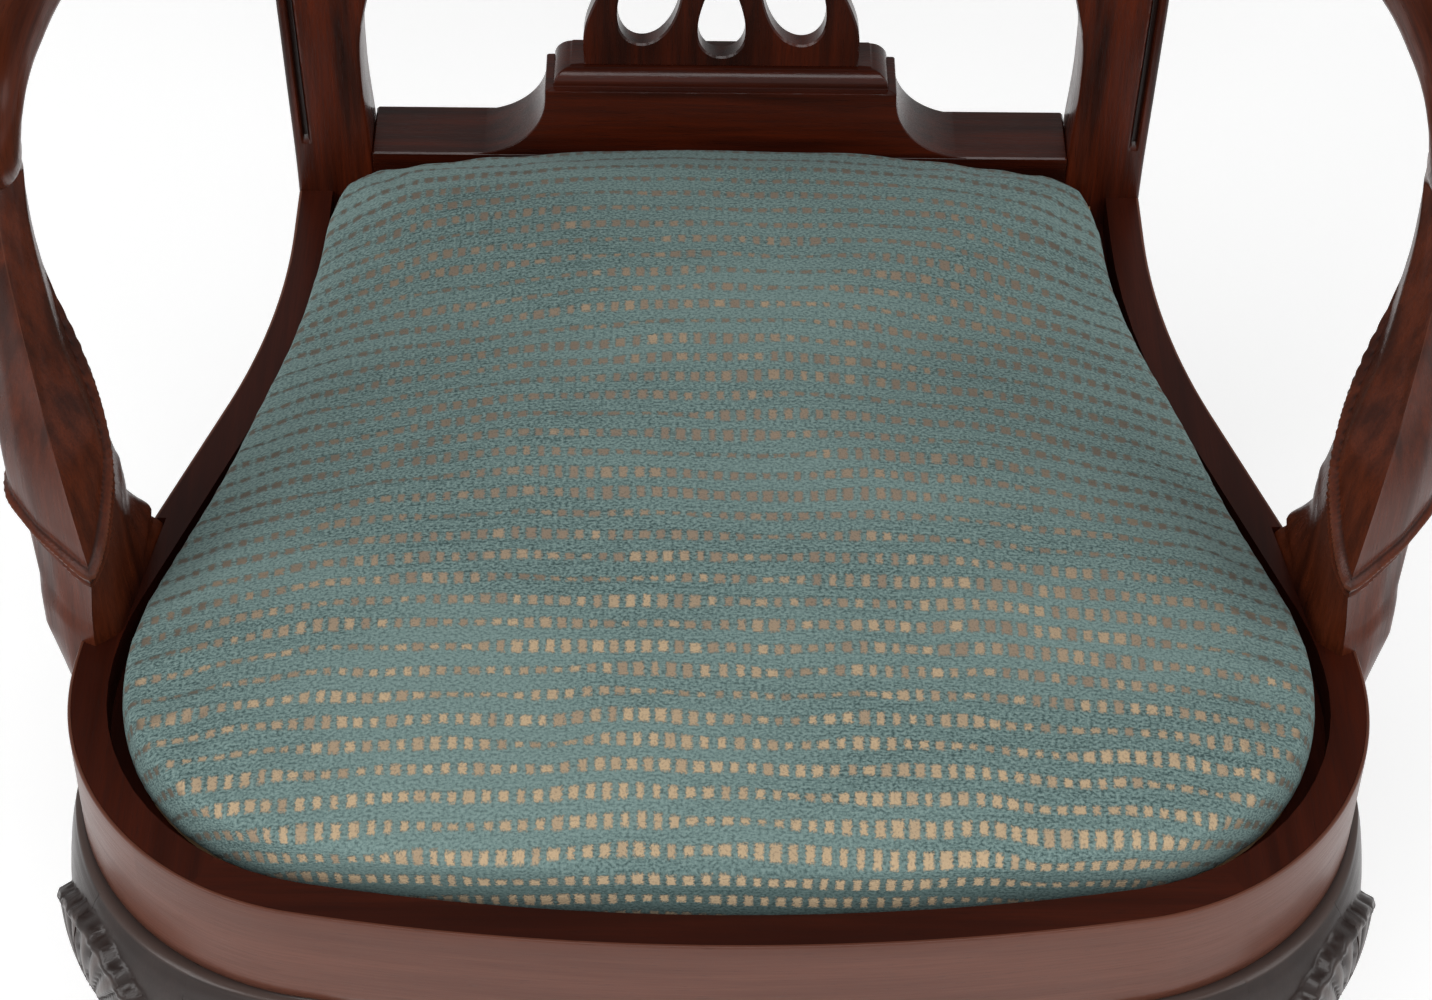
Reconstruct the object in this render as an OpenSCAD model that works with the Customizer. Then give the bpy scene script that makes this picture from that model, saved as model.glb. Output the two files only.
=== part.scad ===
// Open armchair with a compass-shaped seat frame, a lift-out upholstered seat,
// shell-carved cabriole front legs, crook arms and a pierced splat back.
// Millimetres. X runs across, +Y is the back, Z is up. "left" is the -X side, "right" the +X side.

/* [Overall] */
// Width of the seat frame at its widest
seat_w = 588; // [560:2:640]
// Depth of the seat frame, front face to the front of the back posts
seat_d = 494; // [470:2:530]
// Height of the seat rim above the floor
seat_h = 430; // [400:2:470]
// Height of the whole chair
chair_h = 1005; // [940:5:1080]

/* [Seat frame] */
// Width over the back posts at the seat
back_w = 439; // [410:1:460]
// Height of the seat rails
rail_h = 58; // [50:1:68]
// Thickness of the seat rails in plan
rail_t = 46; // [42:1:52]
// Width of the exposed rim on top of the rails
rim_w = 17.5; // [14:0.5:21]
// Depth of the rebate that the loose seat drops into
rebate = 18; // [14:1:22]
// Thickness of the veneer on the rail faces
veneer_t = 1.5; // [1:0.5:2]
// Radius of the bowed front
bow_r = 1050; // [900:10:1300]
// Radius of the front corners
corner_r = 134; // [120:2:150]

/* [Loose seat] */
// Gap between the loose seat and the rim
seat_gap = 7; // [5:0.5:9]
// Height of the crown above the rim
crown_h = 52; // [46:1:60]
// Width of the loose seat's wooden frame members
member_w = 55; // [48:1:62]

/* [Back] */
// Distance the back leans by the top of the chair
back_lean = 79; // [60:1:95]
// Distance the back legs rake by the floor
leg_rake = 62; // [40:1:75]
// Thickness of the splat
splat_t = 10; // [8:0.5:12]
// Half width of the splat at its widest
splat_w = 92; // [80:1:100]

/* [Front legs] */
// Diameter of the round tenon on top of each front leg
tenon_d = 28; // [24:1:30]
// Radius of the ball in each front foot
ball_r = 34; // [30:1:36]
// Half width of the front leg at the ankle
ankle = 16; // [14:0.5:19]

/* [Arms] */
// Height of the arm's centre line above the seat rim
arm_rise = 264; // [240:2:280]
// Half width of the arm over the crook
arm_w = 20; // [17:0.5:23]

/* [Hidden] */
eps = 0.3;
red = [0.36, 0.15, 0.09];
dark = [0.22, 0.09, 0.06];
pale = [0.72, 0.56, 0.36];
steel = [0.55, 0.55, 0.56];
w = seat_w / 2;
wr = back_w / 2;
rs = 175.6;
post_d = 38;
foot_d = 36;
crest_t = 26;
// y of the front face and of the posts' front plane; the box is centred on the origin
depth = seat_d + max(back_lean + crest_t, leg_rake + foot_d);
yf = -depth / 2;
yp = yf + seat_d;
// centres of the front bow, the corner and the waist arcs
th = asin((w - corner_r) / (bow_r - corner_r));
yc = yf + bow_r - (bow_r - corner_r) * cos(th);
y2 = yp - 33.5;
// radius of the hollow sweep, eased where a wide seat would leave the two arcs no common tangent
rw = min(400, (pow(y2 - yc, 2) + pow(w - wr, 2)) / 2 / (w - wr) - rs - 2);
turn = let (e = y2 - yc, r = rs + rw, k = r - (w - wr))
  asin(r / sqrt(e * e + k * k)) - atan2(k, e);
// heights
rail_z = seat_h - rail_h;
ledge_z = seat_h - rebate;
lap_z = rail_z + 18;
crest_z = chair_h - 75;
shoe_z = seat_h + 20;
// position of the front legs: 45 degrees round the corner arc
leg_c = corner_r - 38;
leg_x = w - corner_r + leg_c * cos(45);
leg_y = yc - leg_c * sin(45);
tenon_u = 12;
// position of the arm supports
sy = yf + 214;
arm_z = seat_h + arm_rise;
join_z = arm_z - 66;
// loose seat levels
cloth_t = 1.5;
mem_z = ledge_z + cloth_t;
mem_h = 18;
web_z = mem_z + mem_h;
pad_z = web_z + 4;
crown_z = seat_h + crown_h;
gap_in = rim_w + seat_gap;
mem_in = gap_in + 2;
seat_y = yp - seat_gap;
dome_y = seat_y - 147.5;
// the crown just clears the corners of the hessian
dome_r = pow(norm([w - corner_r, yc - dome_y]) + corner_r - mem_in, 2) / 2 / (crown_z - pad_z - 3.5);
mem_y = seat_y - 2;

function mix(a, b, t) = a + (b - a) * t;

// smooth curve through the points p, t from 0 to 1
function curve(p, t) =
  let (n = len(p) - 1, s = min(floor(t * n), n - 1), f = t * n - s,
       a = p[max(s - 1, 0)], b = p[s], c = p[s + 1], d = p[min(s + 2, n)])
  0.5 * (2 * b + (c - a) * f + (2 * a - 5 * b + 4 * c - d) * f * f
         + (3 * b - a - 3 * c + d) * f * f * f);

// right half of the seat plan, moved in by d, ending at y = e
function half_plan(d, e) = concat(
  [for (i = [0:8]) let (t = th * i / 8)
    [(bow_r - d) * sin(t), yf + bow_r - (bow_r - d) * cos(t)]],
  [for (i = [1:12]) let (t = -(90 - th) * (1 - i / 12))
    [w - corner_r + (corner_r - d) * cos(t), yc + (corner_r - d) * sin(t)]],
  [for (i = [1:4]) let (t = turn * i / 4)
    [w - rs + (rs - d) * cos(t), yc + (rs - d) * sin(t)]],
  [for (i = [0:6]) let (t = turn * (1 - i / 6))
    [wr + rw - (rw + d) * cos(t), y2 - (rw + d) * sin(t)]],
  [[wr - d, e]]);

function plan(d, e) = let (h = half_plan(d, e))
  concat(h, [for (i = [len(h) - 1:-1:1]) [-h[i][0], h[i][1]]]);

module slab(z1, z2) {
  translate([0, 0, z1])
    linear_extrude(height = z2 - z1)
      children();
}

// band of the seat plan between two insets, open at the back
module band(d1, d2) {
  difference() {
    polygon(plan(d1, yp));
    polygon(plan(d2, yp + 20));
  }
}

// the part of the plan in front of rays leaving the corner centres at angle a below the X axis
module front_zone(a) {
  x = w - corner_r;
  polygon([[x, yc], [x + 320 * cos(a), yc - 320 * sin(a)], [x + 330, yf - 60],
           [-x - 330, yf - 60], [-x - 320 * cos(a), yc - 320 * sin(a)], [-x, yc]]);
}

// the part of the plan behind the ray, on the right side
module side_zone(a) {
  x = w - corner_r;
  polygon([[x, yc], [x + 320 * cos(a), yc - 320 * sin(a)], [x + 420, yc],
           [x + 420, yp], [x - 20, yp], [x - 20, yc]]);
}

// solid through a stack of equal rings of points, each ring anticlockwise seen from ahead
module skin(s) {
  n = len(s);
  m = len(s[0]);
  polyhedron(
    points = [for (r = s) each r],
    faces = concat(
      [[for (j = [0:m - 1]) j]],
      [for (i = [0:n - 2]) for (j = [0:m - 1]) let (k = (j + 1) % m)
        [i * m + j, (i + 1) * m + j, (i + 1) * m + k]],
      [for (i = [0:n - 2]) for (j = [0:m - 1]) let (k = (j + 1) % m)
        [i * m + j, (i + 1) * m + k, i * m + k]],
      [[for (j = [m - 1:-1:0]) (n - 1) * m + j]]),
    convexity = 6);
}

// rounded ring: half sizes a and b, power p
function ring(a, b, p, n) = [for (j = [0:n - 1]) let (t = 360 * j / n, c = cos(t), s = sin(t))
  [a * sign(c) * pow(abs(c), p), b * sign(s) * pow(abs(s), p)]];

module at_leg() {
  translate([leg_x, leg_y, 0])
    rotate([0, 0, -45])
      children();
}

// plan of an arm support where it is let into the side rail, kept inside x = lim
function foot_plan(lim) = [for (p = [[-11, -44], [5, -36], [16, -24], [16, 39], [-8, 39],
  [-34, 39], [-27.9, 2], [-22, -34]]) [min(w + 2 + p[0], lim), sy + p[1]]];

// ----- seat frame -----

module leg_tenon_bore() {
  for (s = [-1, 1])
    scale([s, 1, 1])
      at_leg()
        translate([tenon_u, 0, rail_z - 1])
          cylinder(d = tenon_d + 0.4, h = 34.5, $fn = 64);
}

module front_rail() {
  color(red)
    difference() {
      union() {
        slab(rail_z, seat_h)
          intersection() {
            band(veneer_t, rail_t);
            front_zone(60);
          }
        slab(rail_z, lap_z)
          intersection() {
            band(veneer_t, rail_t);
            front_zone(30);
          }
      }
      slab(ledge_z, seat_h + 1)
        polygon(plan(rim_w, yp + 20));
      leg_tenon_bore();
    }
}

module support_screw_places() {
  for (y = [-18, 12])
    translate([w - 53, sy + y, rail_z + 20])
      rotate([0, 90, 0])
        children();
}

module side_rail() {
  color(red)
    difference() {
      union() {
        slab(rail_z, seat_h)
          intersection() {
            band(veneer_t, rail_t);
            side_zone(30);
          }
        slab(lap_z, seat_h)
          intersection() {
            band(veneer_t, rail_t);
            side_zone(60);
          }
        translate([wr - 26, yp - 1, rail_z + 6])
          cube([12, 19, 30]);
      }
      slab(ledge_z, seat_h + 1)
        polygon(plan(rim_w, yp + 20));
      slab(rail_z - 1, seat_h + 1)
        polygon(foot_plan(900));
      leg_tenon_bore();
      support_screw_places() {
        translate([0, 0, -20])
          cylinder(d = 5.4, h = 80, $fn = 32);
        translate([0, 0, -30])
          cylinder(d = 10.6, h = 34, $fn = 32);
      }
    }
}

module side_rail_left() {
  mirror([1, 0, 0])
    side_rail();
}

module side_rail_right() {
  side_rail();
}

module front_veneer() {
  color(dark)
    slab(rail_z, seat_h)
      intersection() {
        band(0, veneer_t);
        front_zone(45);
      }
}

module side_veneer() {
  color(dark)
    slab(rail_z, seat_h)
      difference() {
        intersection() {
          band(0, veneer_t);
          side_zone(45);
        }
        polygon(foot_plan(900));
      }
}

module side_veneer_left() {
  mirror([1, 0, 0])
    side_veneer();
}

module side_veneer_right() {
  side_veneer();
}

module back_rail() {
  x = wr - 39.5;
  color(red)
    union() {
      translate([-x, yp, rail_z])
        cube([2 * x, post_d, shoe_z - rail_z]);
      translate([-(wr - rail_t), yp - 30, rail_z])
        cube([2 * (wr - rail_t), 31, ledge_z - rail_z]);
      translate([-x - 22, yp + 22, rail_z + 10])
        cube([2 * x + 44, 10, shoe_z - rail_z - 20]);
    }
}

module corner_block_front() {
  color(pale)
    slab(rail_z + 2, rail_z + 32)
      intersection() {
        polygon(plan(rail_t, yp - 30));
        translate([leg_x, leg_y])
          rotate(-45)
            translate([-46, -90])
              square([100, 180]);
      }
}

module corner_block_front_left() {
  mirror([1, 0, 0])
    corner_block_front();
}

module corner_block_front_right() {
  corner_block_front();
}

module corner_block_back() {
  color(pale)
    slab(rail_z + 2, rail_z + 32)
      intersection() {
        polygon(plan(rail_t, yp - 30));
        polygon([[wr - rail_t - 58, yp - 30], [wr, yp - 30], [wr, yp - 100]]);
      }
}

module corner_block_back_left() {
  mirror([1, 0, 0])
    corner_block_back();
}

module corner_block_back_right() {
  corner_block_back();
}

// ----- front legs -----

// height, centre and half sizes of the leg, floor to rail
leg_rows = [[52, 8, 21, 21], [64, 1, ankle + 3, ankle + 3], [82, -5, ankle, ankle],
  [110, -7, ankle + 1, ankle + 1], [150, -5, ankle + 3, ankle + 3], [200, 0, ankle + 6, ankle + 6],
  [250, 7, ankle + 11, ankle + 11], [290, 12, ankle + 17, ankle + 18],
  [318, 12, ankle + 21, ankle + 22], [345, 9, ankle + 23, ankle + 24],
  [372, 2, ankle + 20, ankle + 24]];

// one toe: a bent tube over the ball, thick at the knuckles
module toe(a) {
  skin([for (i = [0:10])
    let (t = i / 10, e = mix(62, -62, t), r = ball_r - 1 + 2 * sin(180 * t),
         k = 6.5 + 1.6 * sin(540 * t + 60) - 2.6 * t,
         o = [r * cos(e), 0, ball_r - 1.5 + r * sin(e)],
         n = [cos(e), 0, sin(e)])
    [for (q = ring(k, k, 0.9, 10)) let (p = o + n * q[0] + [0, -q[1], 0])
      [16 + p[0] * cos(a) - p[1] * sin(a), p[0] * sin(a) + p[1] * cos(a), p[2]]]]);
}

module front_leg() {
  k = rail_z / 372;
  color(red)
    at_leg()
      difference() {
        union() {
          intersection() {
            skin([for (i = [0:30]) let (r = curve(leg_rows, i / 30))
              [for (q = ring(r[2], r[3], 0.8, 20)) [r[1] + q[0], q[1], i == 30 ? rail_z : r[0] * k]]]);
            translate([-100, -34, 0])
              cube([200, 68, rail_z]);
          }
          translate([16, 0, ball_r - 1.5])
            sphere(r = ball_r, $fn = 64);
          for (a = [0:90:270])
            toe(a);
          translate([tenon_u, 0, rail_z - 6])
            cylinder(d = tenon_d, h = 39, $fn = 64);
        }
        translate([-100, -100, -50])
          cube([200, 200, 50]);
      }
}

module front_leg_left() {
  mirror([1, 0, 0])
    front_leg();
}

module front_leg_right() {
  front_leg();
}

// bracket from the leg along the front rail; its lower edge sweeps up to a point
module knee_block_front() {
  x1 = leg_x - 110;
  x2 = leg_x + 20;
  color(red)
    difference() {
      intersection() {
        slab(rail_z - 74, rail_z)
          band(0, 34);
        translate([0, yf + 160, 0])
          rotate([90, 0, 0])
            linear_extrude(height = 220)
              polygon(concat([[x2, rail_z], [x1, rail_z]],
                [for (i = [0:10]) let (t = i / 10)
                  [mix(x1, x2, t), rail_z - 9 - 62 * t * t]]));
      }
      at_leg()
        translate([-200, -34, 0])
          cube([400, 400, seat_h]);
    }
}

module knee_block_front_left() {
  mirror([1, 0, 0])
    knee_block_front();
}

module knee_block_front_right() {
  knee_block_front();
}

// the same bracket along the side rail
module knee_block_side() {
  y1 = leg_y - 20;
  y2 = leg_y + 110;
  color(red)
    difference() {
      intersection() {
        slab(rail_z - 74, rail_z)
          band(0, 34);
        rotate([90, 0, 90])
          linear_extrude(height = w + 60)
            polygon(concat([[y1, rail_z]],
              [for (i = [0:10]) let (t = i / 10)
                [mix(y1, y2, t), rail_z - 9 - 62 * (1 - t) * (1 - t)]],
              [[y2, rail_z]]));
      }
      at_leg()
        translate([-200, -366, 0])
          cube([400, 400, seat_h]);
    }
}

module knee_block_side_left() {
  mirror([1, 0, 0])
    knee_block_side();
}

module knee_block_side_right() {
  knee_block_side();
}

// ----- back -----

// how far the back has leaned at height z
function lean(z) = z > 520 ? back_lean * pow((z - 520) / (chair_h - 520), 1.5)
  : z < rail_z ? leg_rake * pow((rail_z - z) / rail_z, 1.5) : 0;

function post_depth(z) = z > 520 ? mix(post_d, 24, (z - 520) / (crest_z - 520))
  : z < rail_z ? mix(post_d, foot_d, (rail_z - z) / rail_z) : post_d;

post_z = concat([for (i = [0:8]) rail_z * i / 8], [seat_h, 520],
  [for (i = [1:14]) mix(520, crest_z, i / 14)]);

// side profile of a post
module post_side() {
  polygon(concat([for (z = post_z) [yp + lean(z), z]],
    [for (i = [len(post_z) - 1:-1:0]) let (z = post_z[i]) [yp + lean(z) + post_depth(z), z]]));
}

// height, inner and outer edge of a post, from the half width at the seat
post_rows = [[0, -35, -7], [190, -37, -3.5], [372, -39.5, 0], [450, -39.5, 0.3], [522, -37.5, 2],
  [548, -40, 3], [570, -47, 3.6], [590, -40, 4.5], [618, -30.5, 6], [700, -29.5, 9],
  [800, -27.5, 13], [900, -25, 19], [930, -24, 21.5]];

// the rows are drawn for a 430 high seat in a 1005 high chair
function post_h(z) = z < 373 ? z * rail_z / 372 : z < 451 ? mix(rail_z, shoe_z, (z - 372) / 78)
  : mix(shoe_z, crest_z, (z - 450) / 480);

module post_front() {
  polygon(concat([for (r = post_rows) [wr + r[2], post_h(r[0])]],
    [for (i = [len(post_rows) - 1:-1:0]) [wr + post_rows[i][1], post_h(post_rows[i][0])]]));
}

// thin leaning slice between heights, off behind the front of the posts
module leaning(off, t, z1, z2, x1, x2) {
  n = 12;
  translate([x1, 0, 0])
    rotate([90, 0, 90])
      linear_extrude(height = x2 - x1)
        polygon(concat([for (i = [0:n]) let (z = mix(z1, z2, i / n)) [yp + off + lean(z), z]],
          [for (i = [n:-1:0]) let (z = mix(z1, z2, i / n)) [yp + off + t + lean(z), z]]));
}

module back_post() {
  color(red)
    difference() {
      union() {
        intersection() {
          translate([0, yp + 200, 0])
            rotate([90, 0, 0])
              linear_extrude(height = 260)
                post_front();
          rotate([90, 0, 90])
            linear_extrude(height = wr + 60)
              post_side();
        }
        leaning(7, 10, crest_z - 1, crest_z + 20, wr - 18, wr + 14);
      }
      translate([wr - 26 - eps, yp - 1, rail_z + 6 - eps])
        cube([12 + 2 * eps, 19 + 2 * eps, 30 + 2 * eps]);
      translate([wr - 60, yp + 22 - eps, rail_z + 10 - eps])
        cube([60 - 17.2, 10 + 2 * eps, shoe_z - rail_z - 20 + 2 * eps]);
      arm_screw_place() {
        translate([0, 0, -10])
          cylinder(d = 5.4, h = 130, $fn = 32);
        translate([0, 0, 66])
          cylinder(d = 11.6, h = 60, $fn = 32);
      }
    }
}

module back_post_left() {
  mirror([1, 0, 0])
    back_post();
}

module back_post_right() {
  back_post();
}

// concave-ended block under the splat with a half-round nosing and mitred returns
module shoe() {
  z1 = shoe_z + 46;
  z2 = shoe_z + 63;
  color(red)
    difference() {
      union() {
        translate([0, yp + 37, 0])
          rotate([90, 0, 0])
            linear_extrude(height = 37)
              polygon(concat(
                [for (i = [0:8]) let (a = 90 - 90 * i / 8)
                  [128 - 38 * cos(a), z1 - 5 - (z1 - 5 - shoe_z) * sin(a)]],
                [[88, z1], [-88, z1]],
                [for (i = [0:8]) let (a = 90 * i / 8)
                  [-128 + 38 * cos(a), z1 - 5 - (z1 - 5 - shoe_z) * sin(a)]]));
        intersection() {
          translate([-88, yp, z1 - 0.5])
            cube([176, 37, z2 - z1 + 0.5]);
          rotate([90, 0, 90])
            translate([0, 0, -100])
              linear_extrude(height = 200)
                polygon(concat([[yp + 37, z1 - 1], [yp, z1 - 1]],
                  [for (i = [0:6]) [yp + 10 - 10 * cos(15 * i), z1 + 17 * sin(15 * i)]],
                  [[yp + 37, z2]]));
          translate([0, yp + 60, 0])
            rotate([90, 0, 0])
              linear_extrude(height = 120)
                polygon(concat([[-88, z1 - 1], [88, z1 - 1]],
                  [for (i = [0:6]) [76 + 12 * cos(15 * i), z1 + 17 * sin(15 * i)]],
                  [for (i = [6:-1:0]) [-76 - 12 * cos(15 * i), z1 + 17 * sin(15 * i)]]));
        }
      }
      translate([-60 - eps, yp + 14 - eps, z2 - 18 - eps])
        cube([120 + 2 * eps, splat_t + 2 * eps, 20]);
    }
}

// height fraction and half width of the splat
splat_rows = [[0, 70], [0.045, 70], [0.085, 65], [0.16, 50], [0.24, 44], [0.33, 52], [0.46, 78],
  [0.58, splat_w], [0.68, splat_w - 6], [0.78, splat_w - 26], [0.88, splat_w - 34],
  [0.95, splat_w - 26], [1, splat_w - 12]];

// rounded opening: centre, half width, half height, how much fuller below, lean
module eye(x, z, a, b, k, r) {
  translate([x, z])
    rotate(r)
      polygon([for (j = [0:27]) let (t = 360 * j / 28)
        [a * sin(t) * (1 + k * cos(t)), -b * cos(t)]]);
}

module splat_outline() {
  z1 = shoe_z + 63;
  z2 = crest_z + 10;
  h = z2 - z1;
  c = [for (i = [0:48]) curve(splat_rows, i / 48)];
  difference() {
    polygon(concat([for (p = c) [p[1], z1 + h * p[0]]],
      [for (i = [48:-1:0]) [-c[i][1], z1 + h * c[i][0]]]));
    eye(0, z1 + 0.073 * h, 11, 26, 0.5, 0);
    eye(0, z1 + 0.43 * h, 12, 46, -0.3, 0);
    eye(0, z1 + 0.68 * h, 17, 40, 0.2, 0);
    eye(0, z1 + 0.88 * h, 13, 26, -0.4, 0);
    for (s = [-1, 1]) {
      eye(s * 33, z1 + 0.125 * h, 14, 42, 0.45, s * 14);
      eye(s * 36, z1 + 0.47 * h, 14, 52, -0.35, s * -17);
      eye(s * 56, z1 + 0.61 * h, 13, 44, 0, s * -6);
      eye(s * 34, z1 + 0.84 * h, 10, 38, 0.3, s * 14);
    }
  }
}

module splat() {
  z1 = shoe_z + 63;
  z2 = crest_z + 10;
  color(red)
    union() {
      intersection() {
        translate([0, yp + 200, 0])
          rotate([90, 0, 0])
            linear_extrude(height = 260)
              splat_outline();
        leaning(14, splat_t, z1, z2, -200, 200);
      }
      translate([-60, yp + 14, z1 - 18])
        cube([120, splat_t, 18.5]);
      leaning(15, splat_t - 2, z2 - 0.5, z2 + 15, -60, 60);
    }
}

module crest_rail() {
  e = wr + 42;
  color(red)
    difference() {
      intersection() {
        translate([0, yp + 200, 0])
          rotate([90, 0, 0])
            linear_extrude(height = 260)
              polygon(concat(
                [[-90, crest_z + 10], [90, crest_z + 10]],
                [for (i = [1:6]) let (t = i / 6)
                  [mix(90, wr - 28, t), crest_z + 10 - 5 * (1 - cos(180 * t))]],
                [[wr + 24, crest_z]],
                [for (i = [1:5]) let (t = i / 6)
                  [mix(wr + 24, e, sin(90 * t)), mix(crest_z, chair_h - 24, t)]],
                [for (i = [0:4]) let (a = 22.5 * i)
                  [e - 12 + 12 * cos(a), chair_h - 16 + 12 * sin(a)]],
                [for (i = [1:23]) let (x = mix(e - 18, -e + 18, i / 24))
                  [x, chair_h - 10 + 10 * cos(360 * x / (e - 18))]],
                [for (i = [0:4]) let (a = 22.5 * i)
                  [-e + 12 - 12 * sin(a), chair_h - 16 + 12 * cos(a)]],
                [for (i = [5:-1:1]) let (t = i / 6)
                  [-mix(wr + 24, e, sin(90 * t)), mix(crest_z, chair_h - 24, t)]],
                [[-wr - 24, crest_z]],
                [for (i = [6:-1:1]) let (t = i / 6)
                  [-mix(90, wr - 28, t), crest_z + 10 - 5 * (1 - cos(180 * t))]]));
        leaning(0, crest_t, crest_z, chair_h, -400, 400);
      }
      leaning(15 - eps, splat_t - 2 + 2 * eps, crest_z + 8, crest_z + 25 + eps, -60 - eps, 60 + eps);
      for (s = [-1, 1])
        scale([s, 1, 1])
          leaning(7 - eps, 10 + 2 * eps, crest_z - 1, crest_z + 20 + eps, wr - 18 - eps, wr + 14 + eps);
    }
}

// ----- arms -----

// height, ridge x and y, inner and outer x, y of the widest part, back y; from w and sy
support_rows = [[478, -13, -48, -24, 24, -8, 36], [500, -10, -46, -22, 28, -12, 32],
  [531, -5, -40, -20, 30, -8, 30], [560, 3, -22, -10, 34, 12, 42], [590, 12, 2, 0, 39, 32, 56],
  [610, 18, 20, 5, 40, 44, 68], [628, 23, 40, 8, 39, 57, 75]];

function support_ring(r) = [for (p = [[r[1], r[2]], [mix(r[1], r[4], 0.8), mix(r[2], r[5], 0.6)],
  [r[4], r[5]], [mix(r[3], r[4], 0.85), r[6] - 3], [mix(r[3], r[4], 0.5), r[6]],
  [mix(r[3], r[4], 0.15), r[6] - 3], [r[3], r[5]], [mix(r[1], r[3], 0.8), mix(r[2], r[5], 0.6)]])
  [w + p[0], sy + p[1]]];

function lift(ring2, z) = [for (p = ring2) [p[0], p[1], z]];

// the rows are drawn for a join 198 above the rim
function up_z(z) = seat_h + (z - 430) * (join_z - seat_h) / 198;

module arm_support() {
  color(red)
    difference() {
      skin(concat(
        [lift(foot_plan(w + 3), rail_z), lift(foot_plan(w + 11), rail_z + 24),
         lift(foot_plan(w + 18), seat_h - 5), lift(foot_plan(w + 18), seat_h + 10)],
        [for (i = [0:14]) let (r = curve(support_rows, i / 14))
          lift(support_ring(r), i == 14 ? join_z : up_z(r[0]))]));
      support_screw_places() {
        cylinder(d = 5, h = 50, $fn = 32);
      }
      arm_dowel_place()
        translate([0, 0, -22])
          cylinder(d = 12.2, h = 30, $fn = 48);
    }
}

module arm_support_left() {
  mirror([1, 0, 0])
    arm_support();
}

module arm_support_right() {
  arm_support();
}

module arm_dowel_place() {
  translate([w + 23.5, sy + 58, join_z])
    children();
}

// the arm's course: x, y, z, heading of its width, half width, half thickness
arm_rows = [[w + 23, sy + 60, join_z - 22, 0, 16, 17], [w + 24, sy + 57, join_z - 2, 0, 16, 17],
  [w + 25, sy + 44, join_z + 15, 0, 16, 16], [w + 26, sy + 30, join_z + 30, 2, 17, 15],
  [w + 25, sy + 26, join_z + 47, 4, arm_w - 2, 15], [w + 23, sy + 38, join_z + 61, 6, arm_w, 15],
  [w + 17, sy + 67, arm_z, 9, arm_w, 15], [w + 6, sy + 112, arm_z, 16, arm_w - 1, 15],
  [w - 12, sy + 172, arm_z - 2, 22, arm_w - 3, 15], [wr + 27, yp - 48, arm_z - 6, 24, 16, 15],
  [wr + 4, yp - 2, arm_z - 10, 25, 15, 16], [wr - 10, yp + 30, arm_z - 11, 24, 15, 17]];

module arm_body() {
  skin([for (i = [0:33])
    let (r = curve(arm_rows, i / 33), a = curve(arm_rows, max(i - 0.4, 0) / 33),
         b = curve(arm_rows, min(i + 0.4, 33) / 33),
         t = [b[0] - a[0], b[1] - a[1], b[2] - a[2]],
         s = [cos(r[3]), sin(r[3]), 0], n0 = cross(t, s), n = n0 / norm(n0))
    [for (q = ring(r[4], r[5], 0.75, 12))
      [r[0], r[1], r[2]] + s * q[0] - n * q[1]]]);
}

module arm_screw_place() {
  translate([wr + 4, yp - 2, arm_z - 10])
    rotate([0, 0, 22])
      rotate([-90, 0, 0])
        translate([0, 0, -36])
          children();
}

module arm() {
  color(red)
    difference() {
      arm_body();
      translate([0, sy - 100, join_z - 100])
        cube([500, 250, 100]);
      rotate([90, 0, 90])
        linear_extrude(height = 500)
          polygon(concat([for (z = post_z) [yp + lean(z), z]], [[yp + 300, crest_z], [yp + 300, 0]]));
      arm_dowel_place()
        translate([0, 0, -1])
          cylinder(d = 12.2, h = 19, $fn = 48);
      arm_screw_place()
        cylinder(d = 5, h = 60, $fn = 32);
    }
}

module arm_left() {
  mirror([1, 0, 0])
    arm();
}

module arm_right() {
  arm();
}

module arm_dowels() {
  color(pale)
    for (s = [-1, 1])
      scale([s, 1, 1])
        arm_dowel_place()
          translate([0, 0, -21])
            cylinder(d = 12, h = 38, $fn = 48);
}

module arm_screws() {
  color(steel)
    for (s = [-1, 1])
      scale([s, 1, 1])
        arm_screw_place() {
          translate([0, 0, 1])
            cylinder(d = 5, h = 68, $fn = 32);
          translate([0, 0, 66])
            cylinder(d = 11, h = 4, $fn = 32);
        }
}

module support_screws() {
  color(steel)
    for (s = [-1, 1])
      scale([s, 1, 1])
        support_screw_places() {
          cylinder(d = 5, h = 49, $fn = 32);
          translate([0, 0, 0])
            cylinder(d = 10, h = 4, $fn = 32);
        }
}

// ----- loose seat -----

module seat_members() {
  slab(mem_z, web_z)
    difference() {
      polygon(plan(mem_in, mem_y));
      polygon(plan(mem_in + member_w, mem_y - member_w));
    }
}

y_front_lap = yf + mem_in + member_w + 26;
y_back_lap = mem_y - member_w;
x_lap = wr - mem_in - member_w;
mid_z = mem_z + mem_h / 2;

// upper half of the corners, where the side members lie over the front and back members
module lap_zone() {
  for (s = [-1, 1])
    scale([s, 1, 1]) {
      translate([x_lap, yf, mid_z])
        cube([400, y_front_lap - yf, 40]);
      translate([x_lap, y_back_lap, mid_z])
        cube([400, 200, 40]);
    }
}

module tack_places() {
  p = half_plan(mem_in + 34, mem_y - 34);
  for (s = [-1, 1])
    for (i = [2:5:len(p) - 1])
      translate([s * p[i][0], p[i][1], mem_z])
        children();
}

module tack_holes() {
  tack_places()
    translate([0, 0, -3])
      cylinder(d = 1.6, h = 10.5, $fn = 24);
}

module seat_member_front() {
  color(pale)
    difference() {
      intersection() {
        seat_members();
        translate([-400, yf, 0])
          cube([800, y_front_lap - yf, 900]);
      }
      lap_zone();
      tack_holes();
    }
}

module seat_member_back() {
  color(pale)
    difference() {
      intersection() {
        seat_members();
        translate([-400, y_back_lap, 0])
          cube([800, 200, 900]);
      }
      lap_zone();
      tack_holes();
    }
}

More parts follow.
